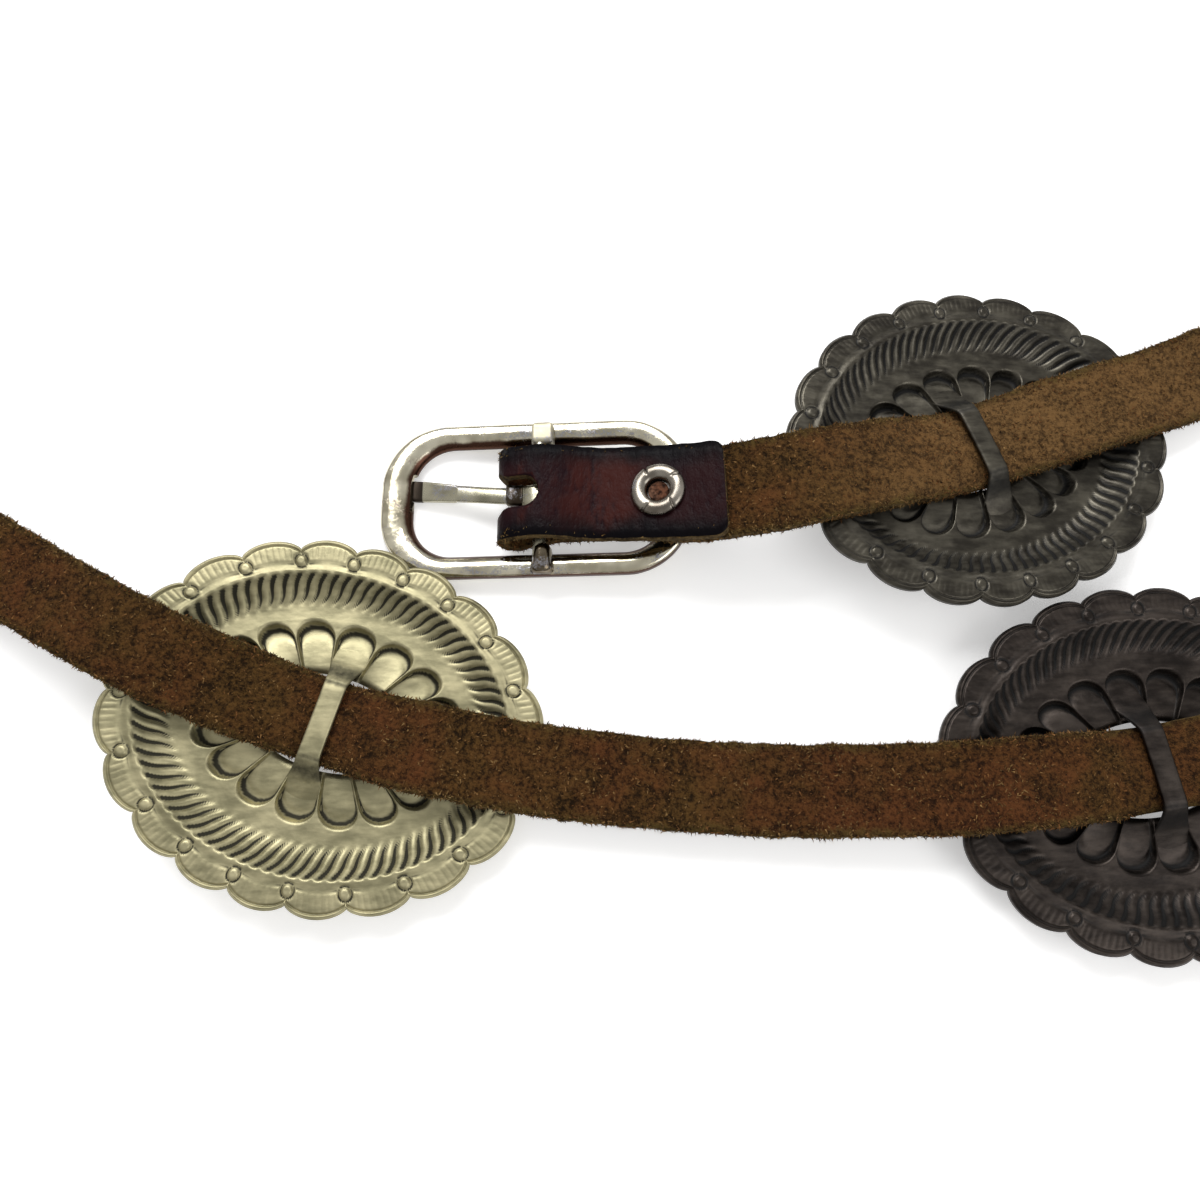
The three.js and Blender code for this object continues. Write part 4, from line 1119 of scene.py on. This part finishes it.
def bent_hair(graph, radius, length):
    """One cone with three sides, which leans more the higher it goes."""
    sizes = {"Vertices": 3, "Side Segments": 2, "Radius Top": 0.0, "Radius Bottom": radius, "Depth": length}
    cone = graph.node("GeometryNodeMeshCone", {"fill_type": "NONE"}, sizes, "Mesh")
    place = graph.node("GeometryNodeInputPosition", {}, {})
    height = graph.node("ShaderNodeSeparateXYZ", {}, {0: place}, "Z")
    offset = graph.node("ShaderNodeCombineXYZ", {}, {"X": height * height * HAIR_LEAN})
    return graph.node("GeometryNodeSetPosition", {}, {"Geometry": cone, "Offset": offset}, "Geometry")


def nap_tree():
    tree = bpy.data.node_groups.new("nap of suede", "GeometryNodeTree")
    sockets = {}
    for name, kind in NAP_INPUTS.items():
        sockets[name] = tree.interface.new_socket(name, in_out="INPUT", socket_type=kind).identifier
    tree.interface.new_socket("Hairs", in_out="OUTPUT", socket_type="NodeSocketGeometry")
    graph = Graph(tree)
    start = graph.node("NodeGroupInput", {}, {}, "Strap")
    where = {"Name": start.beside("Where")}
    nap = graph.node("GeometryNodeInputNamedAttribute", {"data_type": "FLOAT"}, where, "Attribute")
    spread = {"Mesh": start, "Density": nap * start.beside("Hairs per m2"), "Seed": start.beside("Seed")}
    spots = graph.node("GeometryNodeDistributePointsOnFaces", {}, spread, "Points")
    hair = bent_hair(graph, start.beside("Hair radius"), start.beside("Hair length"))
    turns = {"Min": (-1.5, -1.5, -3.1), "Max": (1.5, 1.5, 3.1), "Seed": 5}
    turn = graph.node("FunctionNodeRandomValue", {"data_type": "FLOAT_VECTOR"}, turns, "Value")
    turn = {"Rotation": spots.beside("Rotation"), "Rotate By": turn}
    turn = graph.node("FunctionNodeRotateRotation", {"rotation_space": "LOCAL"}, turn, "Rotation")
    # sockets 2 and 3 are the least and the most of a random number
    size = graph.node("FunctionNodeRandomValue", {"data_type": "FLOAT"}, {2: 0.35, 3: 1.25}, 1)
    copies = {"Points": spots, "Instance": hair, "Rotation": turn, "Scale": size}
    hairs = graph.node("GeometryNodeInstanceOnPoints", {}, copies, "Instances")
    hairs = graph.node("GeometryNodeRealizeInstances", {}, {"Geometry": hairs}, "Geometry")
    finished = {"Geometry": hairs, "Material": start.beside("Finish")}
    hairs = graph.node("GeometryNodeSetMaterial", {}, finished, "Geometry")
    graph.node("NodeGroupOutput", {}, {"Hairs": hairs})
    return tree, sockets


def scatter_nap(source, name, inputs):
    """Hairs on a copy of the source; inputs holds a value for each named input of the tree."""
    tree, sockets = nap_tree()
    obj = bpy.data.objects.new(name, source.data.copy())
    bpy.context.scene.collection.objects.link(obj)
    modifier = obj.modifiers.new("nap", "NODES")
    modifier.node_group = tree
    for socket, value in inputs.items():
        modifier[sockets[socket]] = value
    made_plain(obj)
    return obj


nap_hairs = scatter_nap(strap, "strap_nap", {
    "Hairs per m2": 9.5e5, "Hair length": 0.85 * MM, "Hair radius": 0.17 * MM,
    "Seed": 3, "Where": "nap", "Finish": NAP,
})
fringe_hairs = scatter_nap(strap, "strap_fringe", {
    "Hairs per m2": 2.6e6, "Hair length": 0.7 * MM, "Hair radius": 0.13 * MM,
    "Seed": 8, "Where": "fringe", "Finish": FRINGE,
})
print("nap", len(nap_hairs.data.polygons), "faces, fringe", len(fringe_hairs.data.polygons), "faces")

# %% [markdown]
# The buckle is a cast frame with nickel plating. Its section has a nearly flat back, rounded outer
# edges and a hollow slope on the inside, so it is a ring swept from that section. Two lugs on the
# long sides carry the crossbar.

# %% Plated metal
# the last argument is the colour of the painted reflection and shade
def plated_finish(name, light, dark, pits, roughness, painted_reflection_and_shade=srgb(70, 48, 38)):
    """Plating that is pitted, rubbed in patches and brown where the mesh asks for painted reflection and
    shade.
    """
    f = Finish(name)
    # brown painted reflection and painted shade, where the mesh's attribute asks for them
    painted_mark = f.attribute("painted_reflection_and_shade")
    wear = f.noise(4.2, 5, rough=0.7)
    fine = f.noise(0.5, 4, rough=0.75)
    soft = f.noise(6, 2)
    worn = (wear * 0.8 + fine * 0.45 - 0.12).between(pits, pits + 0.1)
    brown = (painted_mark + (soft - 0.5) * 0.7 + (fine - 0.5) * 0.3).between(0.3, 0.75)
    plated = f.mix(worn, f.mix(soft.between(0.3, 0.7), light, dark), srgb(128, 118, 108))
    streak = f.noise(8, 3, stretch=(0.6, 1.5, 1))
    rubbed = (streak * 0.8 + wear * 0.5 + fine * 0.5 - 0.4).between(0.56, 0.66) * (1 - painted_mark)
    rubbed_metal = f.mix(fine.between(0.4, 0.6), srgb(150, 140, 128), srgb(158, 160, 170))
    plated = f.mix(rubbed * 0.75, plated, rubbed_metal)
    f.set("Base Color", f.mix(brown, plated, painted_reflection_and_shade))
    f.set("Metallic", 1.0)
    f.set("Roughness", (worn * 0.3 + brown * 0.12 + (fine - 0.5) * 0.1 + roughness).clamp())
    f.raise_by(soft * 0.7 + wear * 0.25 + worn * -0.1, 0.3, 0.5)
    return f.material


nickel = plated_finish("nickel_plating", srgb(222, 216, 194), srgb(172, 165, 143), 0.58, 0.13)
# the tongue's last colour is the painted shade on the end of its tip
steel = plated_finish("tongue_metal", srgb(178, 174, 154), srgb(136, 132, 114), 0.7, 0.27, srgb(50, 44, 38))
# a darker copy of the tongue's plating: painted shade on the collar, which bends away from the light
collar_shade_metal = plated_finish("collar_painted_shade", srgb(92, 84, 70), srgb(52, 44, 36), 0.6, 0.3)
rivet_metal = plated_finish("rivet_metal", srgb(164, 158, 148), srgb(102, 95, 86), 0.66, 0.27)
plug_leather = hair_finish("plug_leather", srgb(34, 20, 15), srgb(132, 102, 84), srgb(104, 68, 50))

# %% [markdown]
# The ring of the buckle is one section swept round an oblong with round corners. Its end bar over
# the tongue is a little thicker inwards, and a notch for the tongue's tip is cut in its front.

# %% Ring of the buckle
BUCKLE_WIDTH = 34.6
BUCKLE_CORNER = 14.0
FRAME_SIDE = 5.0
FRAME_END = 5.6
BUCKLE_SHIFT = 0.8
LUG_SHIFT = 0.6
FRAME_SHIFT = -1.3
TIP_END_EXTRA = 1.2
NOTCH_DEPTH = 1.7
NOTCH_WIDTH = 5.0
NOTCH_PLACE = 4.2
# share of the bar's width from its outer side, height as a share of the thickness
FRAME_SECTION = [
    (0.22, 0.0), (0.1, 0.06), (0.025, 0.18), (0.0, 0.34), (0.0, 0.62), (0.02, 0.78), (0.07, 0.9),
    (0.16, 0.975), (0.28, 1.0), (0.45, 1.0), (0.56, 0.985), (0.66, 0.94), (0.78, 0.83), (0.89, 0.68),
    (0.97, 0.5), (1.0, 0.34), (0.99, 0.18), (0.92, 0.06), (0.8, 0.0), (0.5, 0.0),
]


def frame_outline(share, steps=28):
    """The oblong at a share of the way in through the bar."""
    end, side = FRAME_END * share, FRAME_SIDE * share
    radius = BUCKLE_CORNER - (end + side) / 2
    middle_x, middle_y = BUCKLE_LENGTH / 2 - end - radius, BUCKLE_WIDTH / 2 - side - radius
    outline = []
    for corner, (sx, sy) in enumerate(((1, 1), (-1, 1), (-1, -1), (1, -1))):
        turn = (corner + np.linspace(0, 1, steps)) * np.pi / 2
        thicker = TIP_END_EXTRA * share if sx < 0 else 0
        outline.append(np.column_stack([sx * middle_x + radius * np.cos(turn) + FRAME_SHIFT + thicker,
                                        sy * middle_y + radius * np.sin(turn) + BUCKLE_SHIFT]))
    return np.concatenate(outline)


def closed_piece(name, mesh, place, material):
    """A closed mesh, put where it belongs with its faces outwards."""
    points, faces = mesh
    piece = mesh_object(name, moved(points, place), faces, [material])
    face_outwards(piece)
    return piece


frame_loops = []
for share, height in FRAME_SECTION:
    outline = frame_outline(share)
    level = np.full(len(outline), FRAME_FRONT + height * FRAME_THICKNESS)
    frame_loops.append(np.column_stack([outline, level]))
buckle_ring = closed_piece("buckle_ring", ring_mesh(frame_loops), buckle_place, nickel)
inward, upward = np.array(FRAME_SECTION).T
# the inner slope and the outer side of the ring get a brown painted reflection
inner_painted_reflection = np.where(inward > 0.6, ramp(inward, 0.62, 0.95), 0) * 0.95
outer_painted_reflection = np.where(inward < 0.12, ramp(-upward, -0.93, -0.75), 0) * 0.8
point_attribute(buckle_ring, "painted_reflection_and_shade", np.repeat(np.maximum(inner_painted_reflection, outer_painted_reflection), len(outline)))

notch_half = (NOTCH_WIDTH + CLEARANCE * 4) / 2
notch_low, notch_high = NOTCH_PLACE - notch_half, NOTCH_PLACE + notch_half
notch_start, notch_end = -BUCKLE_LENGTH, -BUCKLE_LENGTH / 2 + FRAME_END * 1.5
notch_outline = [(notch_start, notch_low), (notch_end, notch_low),
                 (notch_end, notch_high), (notch_start, notch_high)]
points, faces = prism(notch_outline, FRAME_FRONT - 3, FRAME_FRONT + NOTCH_DEPTH)
cut(buckle_ring, [(moved(points, buckle_place), faces)], nickel)
print("ring", len(buckle_ring.data.polygons), "faces")

# %% [markdown]
# Two lugs on the long sides carry the crossbar. The far one was left as a wide saddle and the near
# one as a round nose that narrows outwards. Each is a row of half round sections, squarer for the
# saddle and rounder for the nose.

# %% Lugs and crossbar
LUG_PLACES = (-2.35, -2.25, -1.9, -1.0, 0.0, 1.0, 1.7, 2.1, 2.3, 2.4)


def squared(wave, power):
    """A sine or cosine made fuller, so that a circle becomes a rounded box as the power falls."""
    return np.sign(wave) * np.abs(wave) ** power


def lug_loops(side):
    """A lug across a long side. The far one is a low saddle and the near one a tapered round nose."""
    far = side > 0
    middle = BUCKLE_SHIFT + side * (BUCKLE_WIDTH / 2 - FRAME_SIDE / 2)
    foot = FRAME_BACK - 0.9
    turn = np.linspace(0, np.pi, 19)
    power = 0.3 if far else 0.85
    loops = []
    for y in LUG_PLACES:
        close = 1 - 0.4 * ramp(abs(y), 1.8, 2.5)
        place = y * 1.1 - 1.15 if far else (y + 2.35) * 1.32 - 2.35
        half = 2.35 * close if far else (2.65 - 0.17 * (y + 2.3)) * close
        top = CROSSBAR_RADIUS + (0.45 if far else 0.35 - 0.1 * (2.3 - y) / 4)
        x = LUG_SHIFT + half * squared(np.cos(turn), power)
        z = foot + (top * close - foot) * np.sin(turn) ** (power * 0.9)
        if far:
            z = z - 0.38 * bump(x - LUG_SHIFT, 1.5) * (np.sin(turn) > 0.5)
        loops.append(np.column_stack([x, np.full(len(turn), middle + place), z]))
    return loops


def crossbar_loops(length, steps=32):
    turn = np.arange(steps) / steps * 2 * np.pi
    loops = []
    for y, share in ((-0.5, 0.9), (-0.49, 1.0), (0.49, 1.0), (0.5, 0.9)):
        r = CROSSBAR_RADIUS * share
        place = np.full(steps, BUCKLE_SHIFT + y * length)
        loops.append(np.column_stack([r * np.cos(turn), place, r * np.sin(turn)]))
    return loops


# a darker copy of the plating: painted dark reflections on the near lug's sides
near_lug_reflection_metal = plated_finish("near_lug_painted_reflection", srgb(150, 140, 120), srgb(84, 74, 60), 0.6, 0.18)
far_metal = plated_finish("far_lug_metal", srgb(206, 200, 176), srgb(176, 170, 148), 0.8, 0.5)
buckle_bars = [
    closed_piece("far_lug", tube_mesh(lug_loops(1)), buckle_place, far_metal),
    closed_piece("near_lug", tube_mesh(lug_loops(-1)), buckle_place, near_lug_reflection_metal),
    closed_piece("crossbar", tube_mesh(crossbar_loops(BUCKLE_WIDTH - FRAME_SIDE)), buckle_place, steel),
]
print("bars", sum(len(piece.data.polygons) for piece in buckle_bars), "faces")

# %% [markdown]
# The tongue is bent from thick wire. Its tip was hammered flat, a step divides that face from the
# half-round stem, and the other end is curled round the crossbar. The wire spreads into a collar
# where the curl begins, and its end lies over the curl.

# %% Tongue
TONGUE_THICKNESS = 1.8
TONGUE_SEAT = FRAME_FRONT + NOTCH_DEPTH - CLEARANCE
# along from the crossbar, width, thickness, rise of the top, flatness
TONGUE_ROWS = [
    (3.0, 3.8, 1.8, 0.98, 0.15),
    (6.0, 3.6, 1.8, 0.88, 0.05),
    (12.0, 3.6, 1.8, 0.66, 0.05),
    (17.6, 3.8, 1.8, 0.45, 0.1),
    (18.0, 3.7, 1.7, 0.42, 0.3),
    (18.3, 3.9, 1.5, 0.36, 0.9),
    (25.2, 4.5, 1.3, 0.14, 1.0),
    (25.8, 4.6, 1.3, 0.06, 1.0),
    (27.2, 4.6, 1.3, 0.0, 1.0),
    (31.2, 4.6, 1.25, 0.0, 1.0),
    (31.5, 4.3, 1.0, 0.0, 1.0),
]
TONGUE_SIDE = -0.1
TONGUE_SLANT = 0.14
# painted shade on the tongue's tip, where it goes under the ring's end bar
TIP_SHADE = 0.9
CURL_WIDTH = 4.3
COLLAR_LOW = -1.2
# along from the crossbar, width, top
COLLAR_ROWS = [(3.3, 4.7, 1.75), (3.6, 4.9, 1.7), (4.4, 4.6, 1.4), (5.2, 4.4, 1.2), (6.0, 4.6, 1.12),
               (6.8, 4.4, 1.0), (7.0, 4.0, 0.8)]
WRAP_HALF = 2.35
WRAP_LOW = 1.2
# along from the crossbar, top
WRAP_ROWS = [(-1.6, 1.9), (-0.8, 2.44), (0.4, 2.58), (1.6, 2.4), (2.6, 2.05), (3.4, 1.7)]
WIRE_STEPS = 28


def wire_loop(along, half, middle, rise, across_power, height_power):
    """One section of the tongue's wire, which lies a little slanted."""
    turn = np.arange(WIRE_STEPS) / WIRE_STEPS * 2 * np.pi
    across = TONGUE_SIDE + half * squared(np.cos(turn), across_power) + along * TONGUE_SLANT
    height = middle + rise * squared(np.sin(turn), height_power)
    return np.column_stack([np.full(WIRE_STEPS, -along), across, height])


def tongue_loops():
    loops = []
    for along, width, thick, rise, flat in TONGUE_ROWS:
        top = mix(TONGUE_SEAT, TONGUE_THICKNESS / 2, rise)
        powers = mix(0.9, 0.22, flat), mix(0.9, 0.35, flat)
        loops.append(wire_loop(along, width / 2, top - thick / 2, thick / 2, *powers))
    return loops


def collar_loops():
    return [wire_loop(along, width / 2, (top + COLLAR_LOW) / 2, (top - COLLAR_LOW) / 2, 0.5, 0.6)
            for along, width, top in COLLAR_ROWS]


def curl_loops(steps=48):
    turn = np.arange(steps) / steps * 2 * np.pi
    half = CURL_WIDTH / 2
    inner = CROSSBAR_RADIUS + CLEARANCE
    profile = [(half - 0.25, CURL_RADIUS), (half, CURL_RADIUS - 0.25), (half, inner), (-half, inner),
               (-half, CURL_RADIUS - 0.25), (-half + 0.25, CURL_RADIUS)]
    return [np.column_stack([r * np.cos(turn), np.full(steps, y), r * np.sin(turn)]) for y, r in profile]


def wrap_loops():
    """The end of the wire lies over the curl, between the collar and the end of the slot."""
    turn = np.linspace(0, np.pi, 17)
    across = TONGUE_SIDE + WRAP_HALF * squared(np.cos(turn), 0.4)
    loops = []
    for along, top in WRAP_ROWS:
        height = WRAP_LOW + (top - WRAP_LOW) * np.sin(turn) ** 0.4
        loops.append(np.column_stack([np.full(17, -along), across, height]))
    return loops


tongue_stem = closed_piece("tongue_stem", tube_mesh(tongue_loops()), buckle_place, steel)
# painted shade on the end of the tip, under and beside the ring's end bar
tip_shade = [TIP_SHADE if 25.5 < row[0] < 32 else 0.0 for row in TONGUE_ROWS]
point_attribute(tongue_stem, "painted_reflection_and_shade", np.repeat(tip_shade, WIRE_STEPS))
tongue_curl = closed_piece("tongue_curl", ring_mesh(curl_loops()), buckle_place, steel)
tongue_wrap = closed_piece("tongue_wrap", tube_mesh(wrap_loops()), buckle_place, steel)
# the collar's dark metal is painted shade
tongue_collar = closed_piece("tongue_collar", tube_mesh(collar_loops()), buckle_place, collar_shade_metal)
tongue_pieces = [tongue_stem, tongue_curl, tongue_collar, tongue_wrap]
print("tongue", sum(len(piece.data.polygons) for piece in tongue_pieces), "faces")

# %% [markdown]
# The rivet is a tube whose end was rolled over and split in a few places as it spread. Its hole
# is filled with a plug of the same leather.

# %% Rivet and plug
CAP_RADIUS = 5.6
RIVET_SHIFT = 0.5
BORE_RADIUS = 2.4
ROLL = 1.4
SPLITS = (43, 128, 244, 318)
SPLIT_SLANT = 4
SPLIT_WIDTH = 0.2
PLUG_UNEVEN = 0.12
rivet_axes = strap_frames([RIVET_PLACE + RIVET_SHIFT])
rivet_place = Matrix.Identity(4)
for column, name in enumerate(("along", "across", "normal", "centre")):
    for row_number in range(3):
        rivet_place[row_number][column] = rivet_axes[name][0][row_number]


def rivet_loops(steps=144):
    """The rivet's section turned round its axis, with the rolled rim sunk in at each split."""
    low, high = -HALF - CLEARANCE, LAYER_PITCH + HALF + CLEARANCE
    profile = [(BORE_RADIUS, low - CAP_THICKNESS), (CAP_RADIUS - 0.2, low - CAP_THICKNESS),
               (CAP_RADIUS, low - CAP_THICKNESS + 0.2), (CAP_RADIUS, low), (RIVET_BARREL, low),
               (RIVET_BARREL, high), (CAP_RADIUS - 0.25, high)]
    bend = np.linspace(-0.15, 1.12, 14) * np.pi
    centre = (CAP_RADIUS + BORE_RADIUS) / 2
    wide = (CAP_RADIUS - BORE_RADIUS) / 2
    profile += [(centre + wide * np.cos(b), high + ROLL * 0.2 + ROLL * 0.8 * np.sin(b)) for b in bend]
    profile += [(BORE_RADIUS + 0.02, high - 0.4)]
    turn = np.arange(steps) / steps * 2 * np.pi
    loops = []
    for radius, height in profile:
        slanted = np.degrees(turn) + SPLIT_SLANT * (radius - 4)
        split = sum(bump((slanted - angle) * radius / 57.3, SPLIT_WIDTH) for angle in SPLITS)
        rolled = float(height > high - 0.1) * float(radius > 3.4)
        r = radius - 0.35 * split * rolled * (radius > 4.6)
        z = height - 0.55 * split * rolled * ramp(radius, 3.4, 4.6)
        loops.append(np.column_stack([r * np.cos(turn), r * np.sin(turn), z + 0 * turn]))
    return loops


def plug_loops(steps=40):
    """A disc as thick as the leather, whose top is many rings, so that it can be uneven."""
    turn = np.arange(steps) / steps * 2 * np.pi
    radius = BORE_RADIUS - CLEARANCE
    low, high = LAYER_PITCH - HALF, LAYER_PITCH + HALF
    profile = [(0.05, low), (radius, low), (radius, high - 0.2)]
    profile += [(radius * share, high - 0.02) for share in (0.9, 0.7, 0.5, 0.3, 0.1, 0.02)]
    return [np.column_stack([r * np.cos(turn), r * np.sin(turn), np.full(steps, z)]) for r, z in profile]


rivet = closed_piece("rivet_metal_ring", ring_mesh(rivet_loops()), rivet_place, rivet_metal)
points, faces = tube_mesh(plug_loops())
points[:, 2] += lumps(points, 0.8, 6) * PLUG_UNEVEN
plug = closed_piece("plug", (points, faces), rivet_place, plug_leather)
print("rivet", len(rivet.data.polygons), "faces, plug", len(plug.data.polygons), "faces")

# %% [markdown]
# The camera looks down on the belt from the side of the lower strand, at the photograph's angle.
# Its place was worked out from the rims of two conchos and the buckle.

# %% Camera
CAMERA_PLACE = (18.4, -165.3, 175.0)
CAMERA_TILT = 15.8
CAMERA_TURN = -0.72
CAMERA_LENS = 26.0
camera = bpy.data.objects.new("camera", bpy.data.cameras.new("camera"))
camera.data.lens = CAMERA_LENS
camera.data.sensor_width = 36.0
camera.data.clip_start = 0.01
camera.location = Vector(CAMERA_PLACE) * MM
camera.rotation_euler = (math.radians(CAMERA_TILT), 0, math.radians(CAMERA_TURN))
bpy.context.scene.collection.objects.link(camera)
bpy.context.scene.camera = camera
print("camera at", CAMERA_PLACE)

# %% [markdown]
# The floor is plain and nearly white. A large soft window behind the belt and a weak fill beside
# the camera light it, and a sky that is brown at the horizon gives the plating its dark edges.
# The camera itself sees a white backdrop instead of that sky.

# %% Floor and sky
FLOOR_REACH = 3000
FLOOR_GLOW = 0.34
SKY_STRENGTH = 0.6
WHITE = (1, 1, 1, 1)
SKY_STOPS = [(0, (0.08, 0.045, 0.03, 1)), (0.3, WHITE), (0.55, (1, 0.97, 0.93, 1)), (1, WHITE)]
floor_finish = Finish("floor")
floor_finish.set("Base Color", (0.93, 0.93, 0.93, 1))
floor_finish.set("Roughness", 0.9)
floor_finish.set("Emission Color", WHITE)
floor_finish.set("Emission Strength", FLOOR_GLOW)
corners = [(-1, -1, 0), (1, -1, 0), (1, 1, 0), (-1, 1, 0)]
floor = mesh_object("floor", np.array(corners) * FLOOR_REACH, [(0, 1, 2, 3)], [floor_finish.material])
floor.location.z = -FLOOR_GAP * MM

world = bpy.data.worlds.new("studio")
bpy.context.scene.world = world
world.use_nodes = True
sky = Graph(world.node_tree)
direction = sky.node("ShaderNodeTexCoord", {}, {}, "Generated")
height = sky.node("ShaderNodeSeparateXYZ", {}, {0: direction}, "Z")
tint = sky.node("ShaderNodeValToRGB", {"stops": SKY_STOPS}, {0: height})
dome = sky.tree.nodes["Background"]
sky.fill(dome, {"Color": tint, "Strength": SKY_STRENGTH})
backdrop = sky.node("ShaderNodeBackground", {}, {"Color": WHITE})
seen = sky.node("ShaderNodeLightPath", {}, {}, "Is Camera Ray")
either = sky.node("ShaderNodeMixShader", {}, {0: seen, 1: Wire(sky, dome.outputs[0]), 2: backdrop})
sky.fill(sky.tree.nodes["World Output"], {"Surface": either})

# %% [markdown]
# Broad lamps give highlights as soft as a window's. The view transform is the plain one, so that
# the colours of the finishes come out as they were mixed.

# %% Lamps and render settings
def softbox(name, place, aim, size, power):
    """A rectangular lamp, with its place and size in metres and its power in watts."""
    lamp = bpy.data.lights.new(name, "AREA")
    lamp.shape = "RECTANGLE"
    lamp.size, lamp.size_y = size
    lamp.energy = power
    obj = bpy.data.objects.new(name, lamp)
    obj.location = Vector(place)
    obj.rotation_euler = (Vector(aim) - Vector(place)).to_track_quat("-Z", "Y").to_euler()
    bpy.context.scene.collection.objects.link(obj)


LIT_PLACE = (0.02, -0.1, 0)
softbox("window", (-0.15, 0.55, 0.75), LIT_PLACE, (0.7, 0.5), 9)
softbox("fill", (0.6, -0.5, 0.6), LIT_PLACE, (0.5, 0.5), 2)

scene = bpy.context.scene
scene.render.engine = "CYCLES"
scene.render.resolution_x = scene.render.resolution_y = 1024
scene.cycles.samples = 96
scene.cycles.use_denoising = True
scene.view_settings.view_transform = "Standard"
scene.view_settings.look = "None"
print("lamps", [lamp.name for lamp in bpy.data.lights])

# %% [markdown]
# Each mesh rides the body of the solid that it stands for. The hairs ride with the strap.

# %% Finish
for number, piece in enumerate(concho_pieces, 1):
    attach(piece, "belt")
    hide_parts(f"concho_{number}")
    CONCHO_SLOT[number - 1]
for piece in (buckle_ring, *buckle_bars):
    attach(piece, "buckle")
    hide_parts("buckle_frame")
for piece in tongue_pieces:
    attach(piece, "tongue")
    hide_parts("buckle_tongue")
for piece, node, slot in ((strap, "strap", "strap_leather"), (nap_hairs, "strap", "strap_leather"),
                          (fringe_hairs, "strap", "strap_leather"), (rivet, "rivet", "rivet_plating"),
                          (plug, "rivet_plug", "plug_leather")):
    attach(piece, "belt")
    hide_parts(node)
bpy.context.view_layer.update()
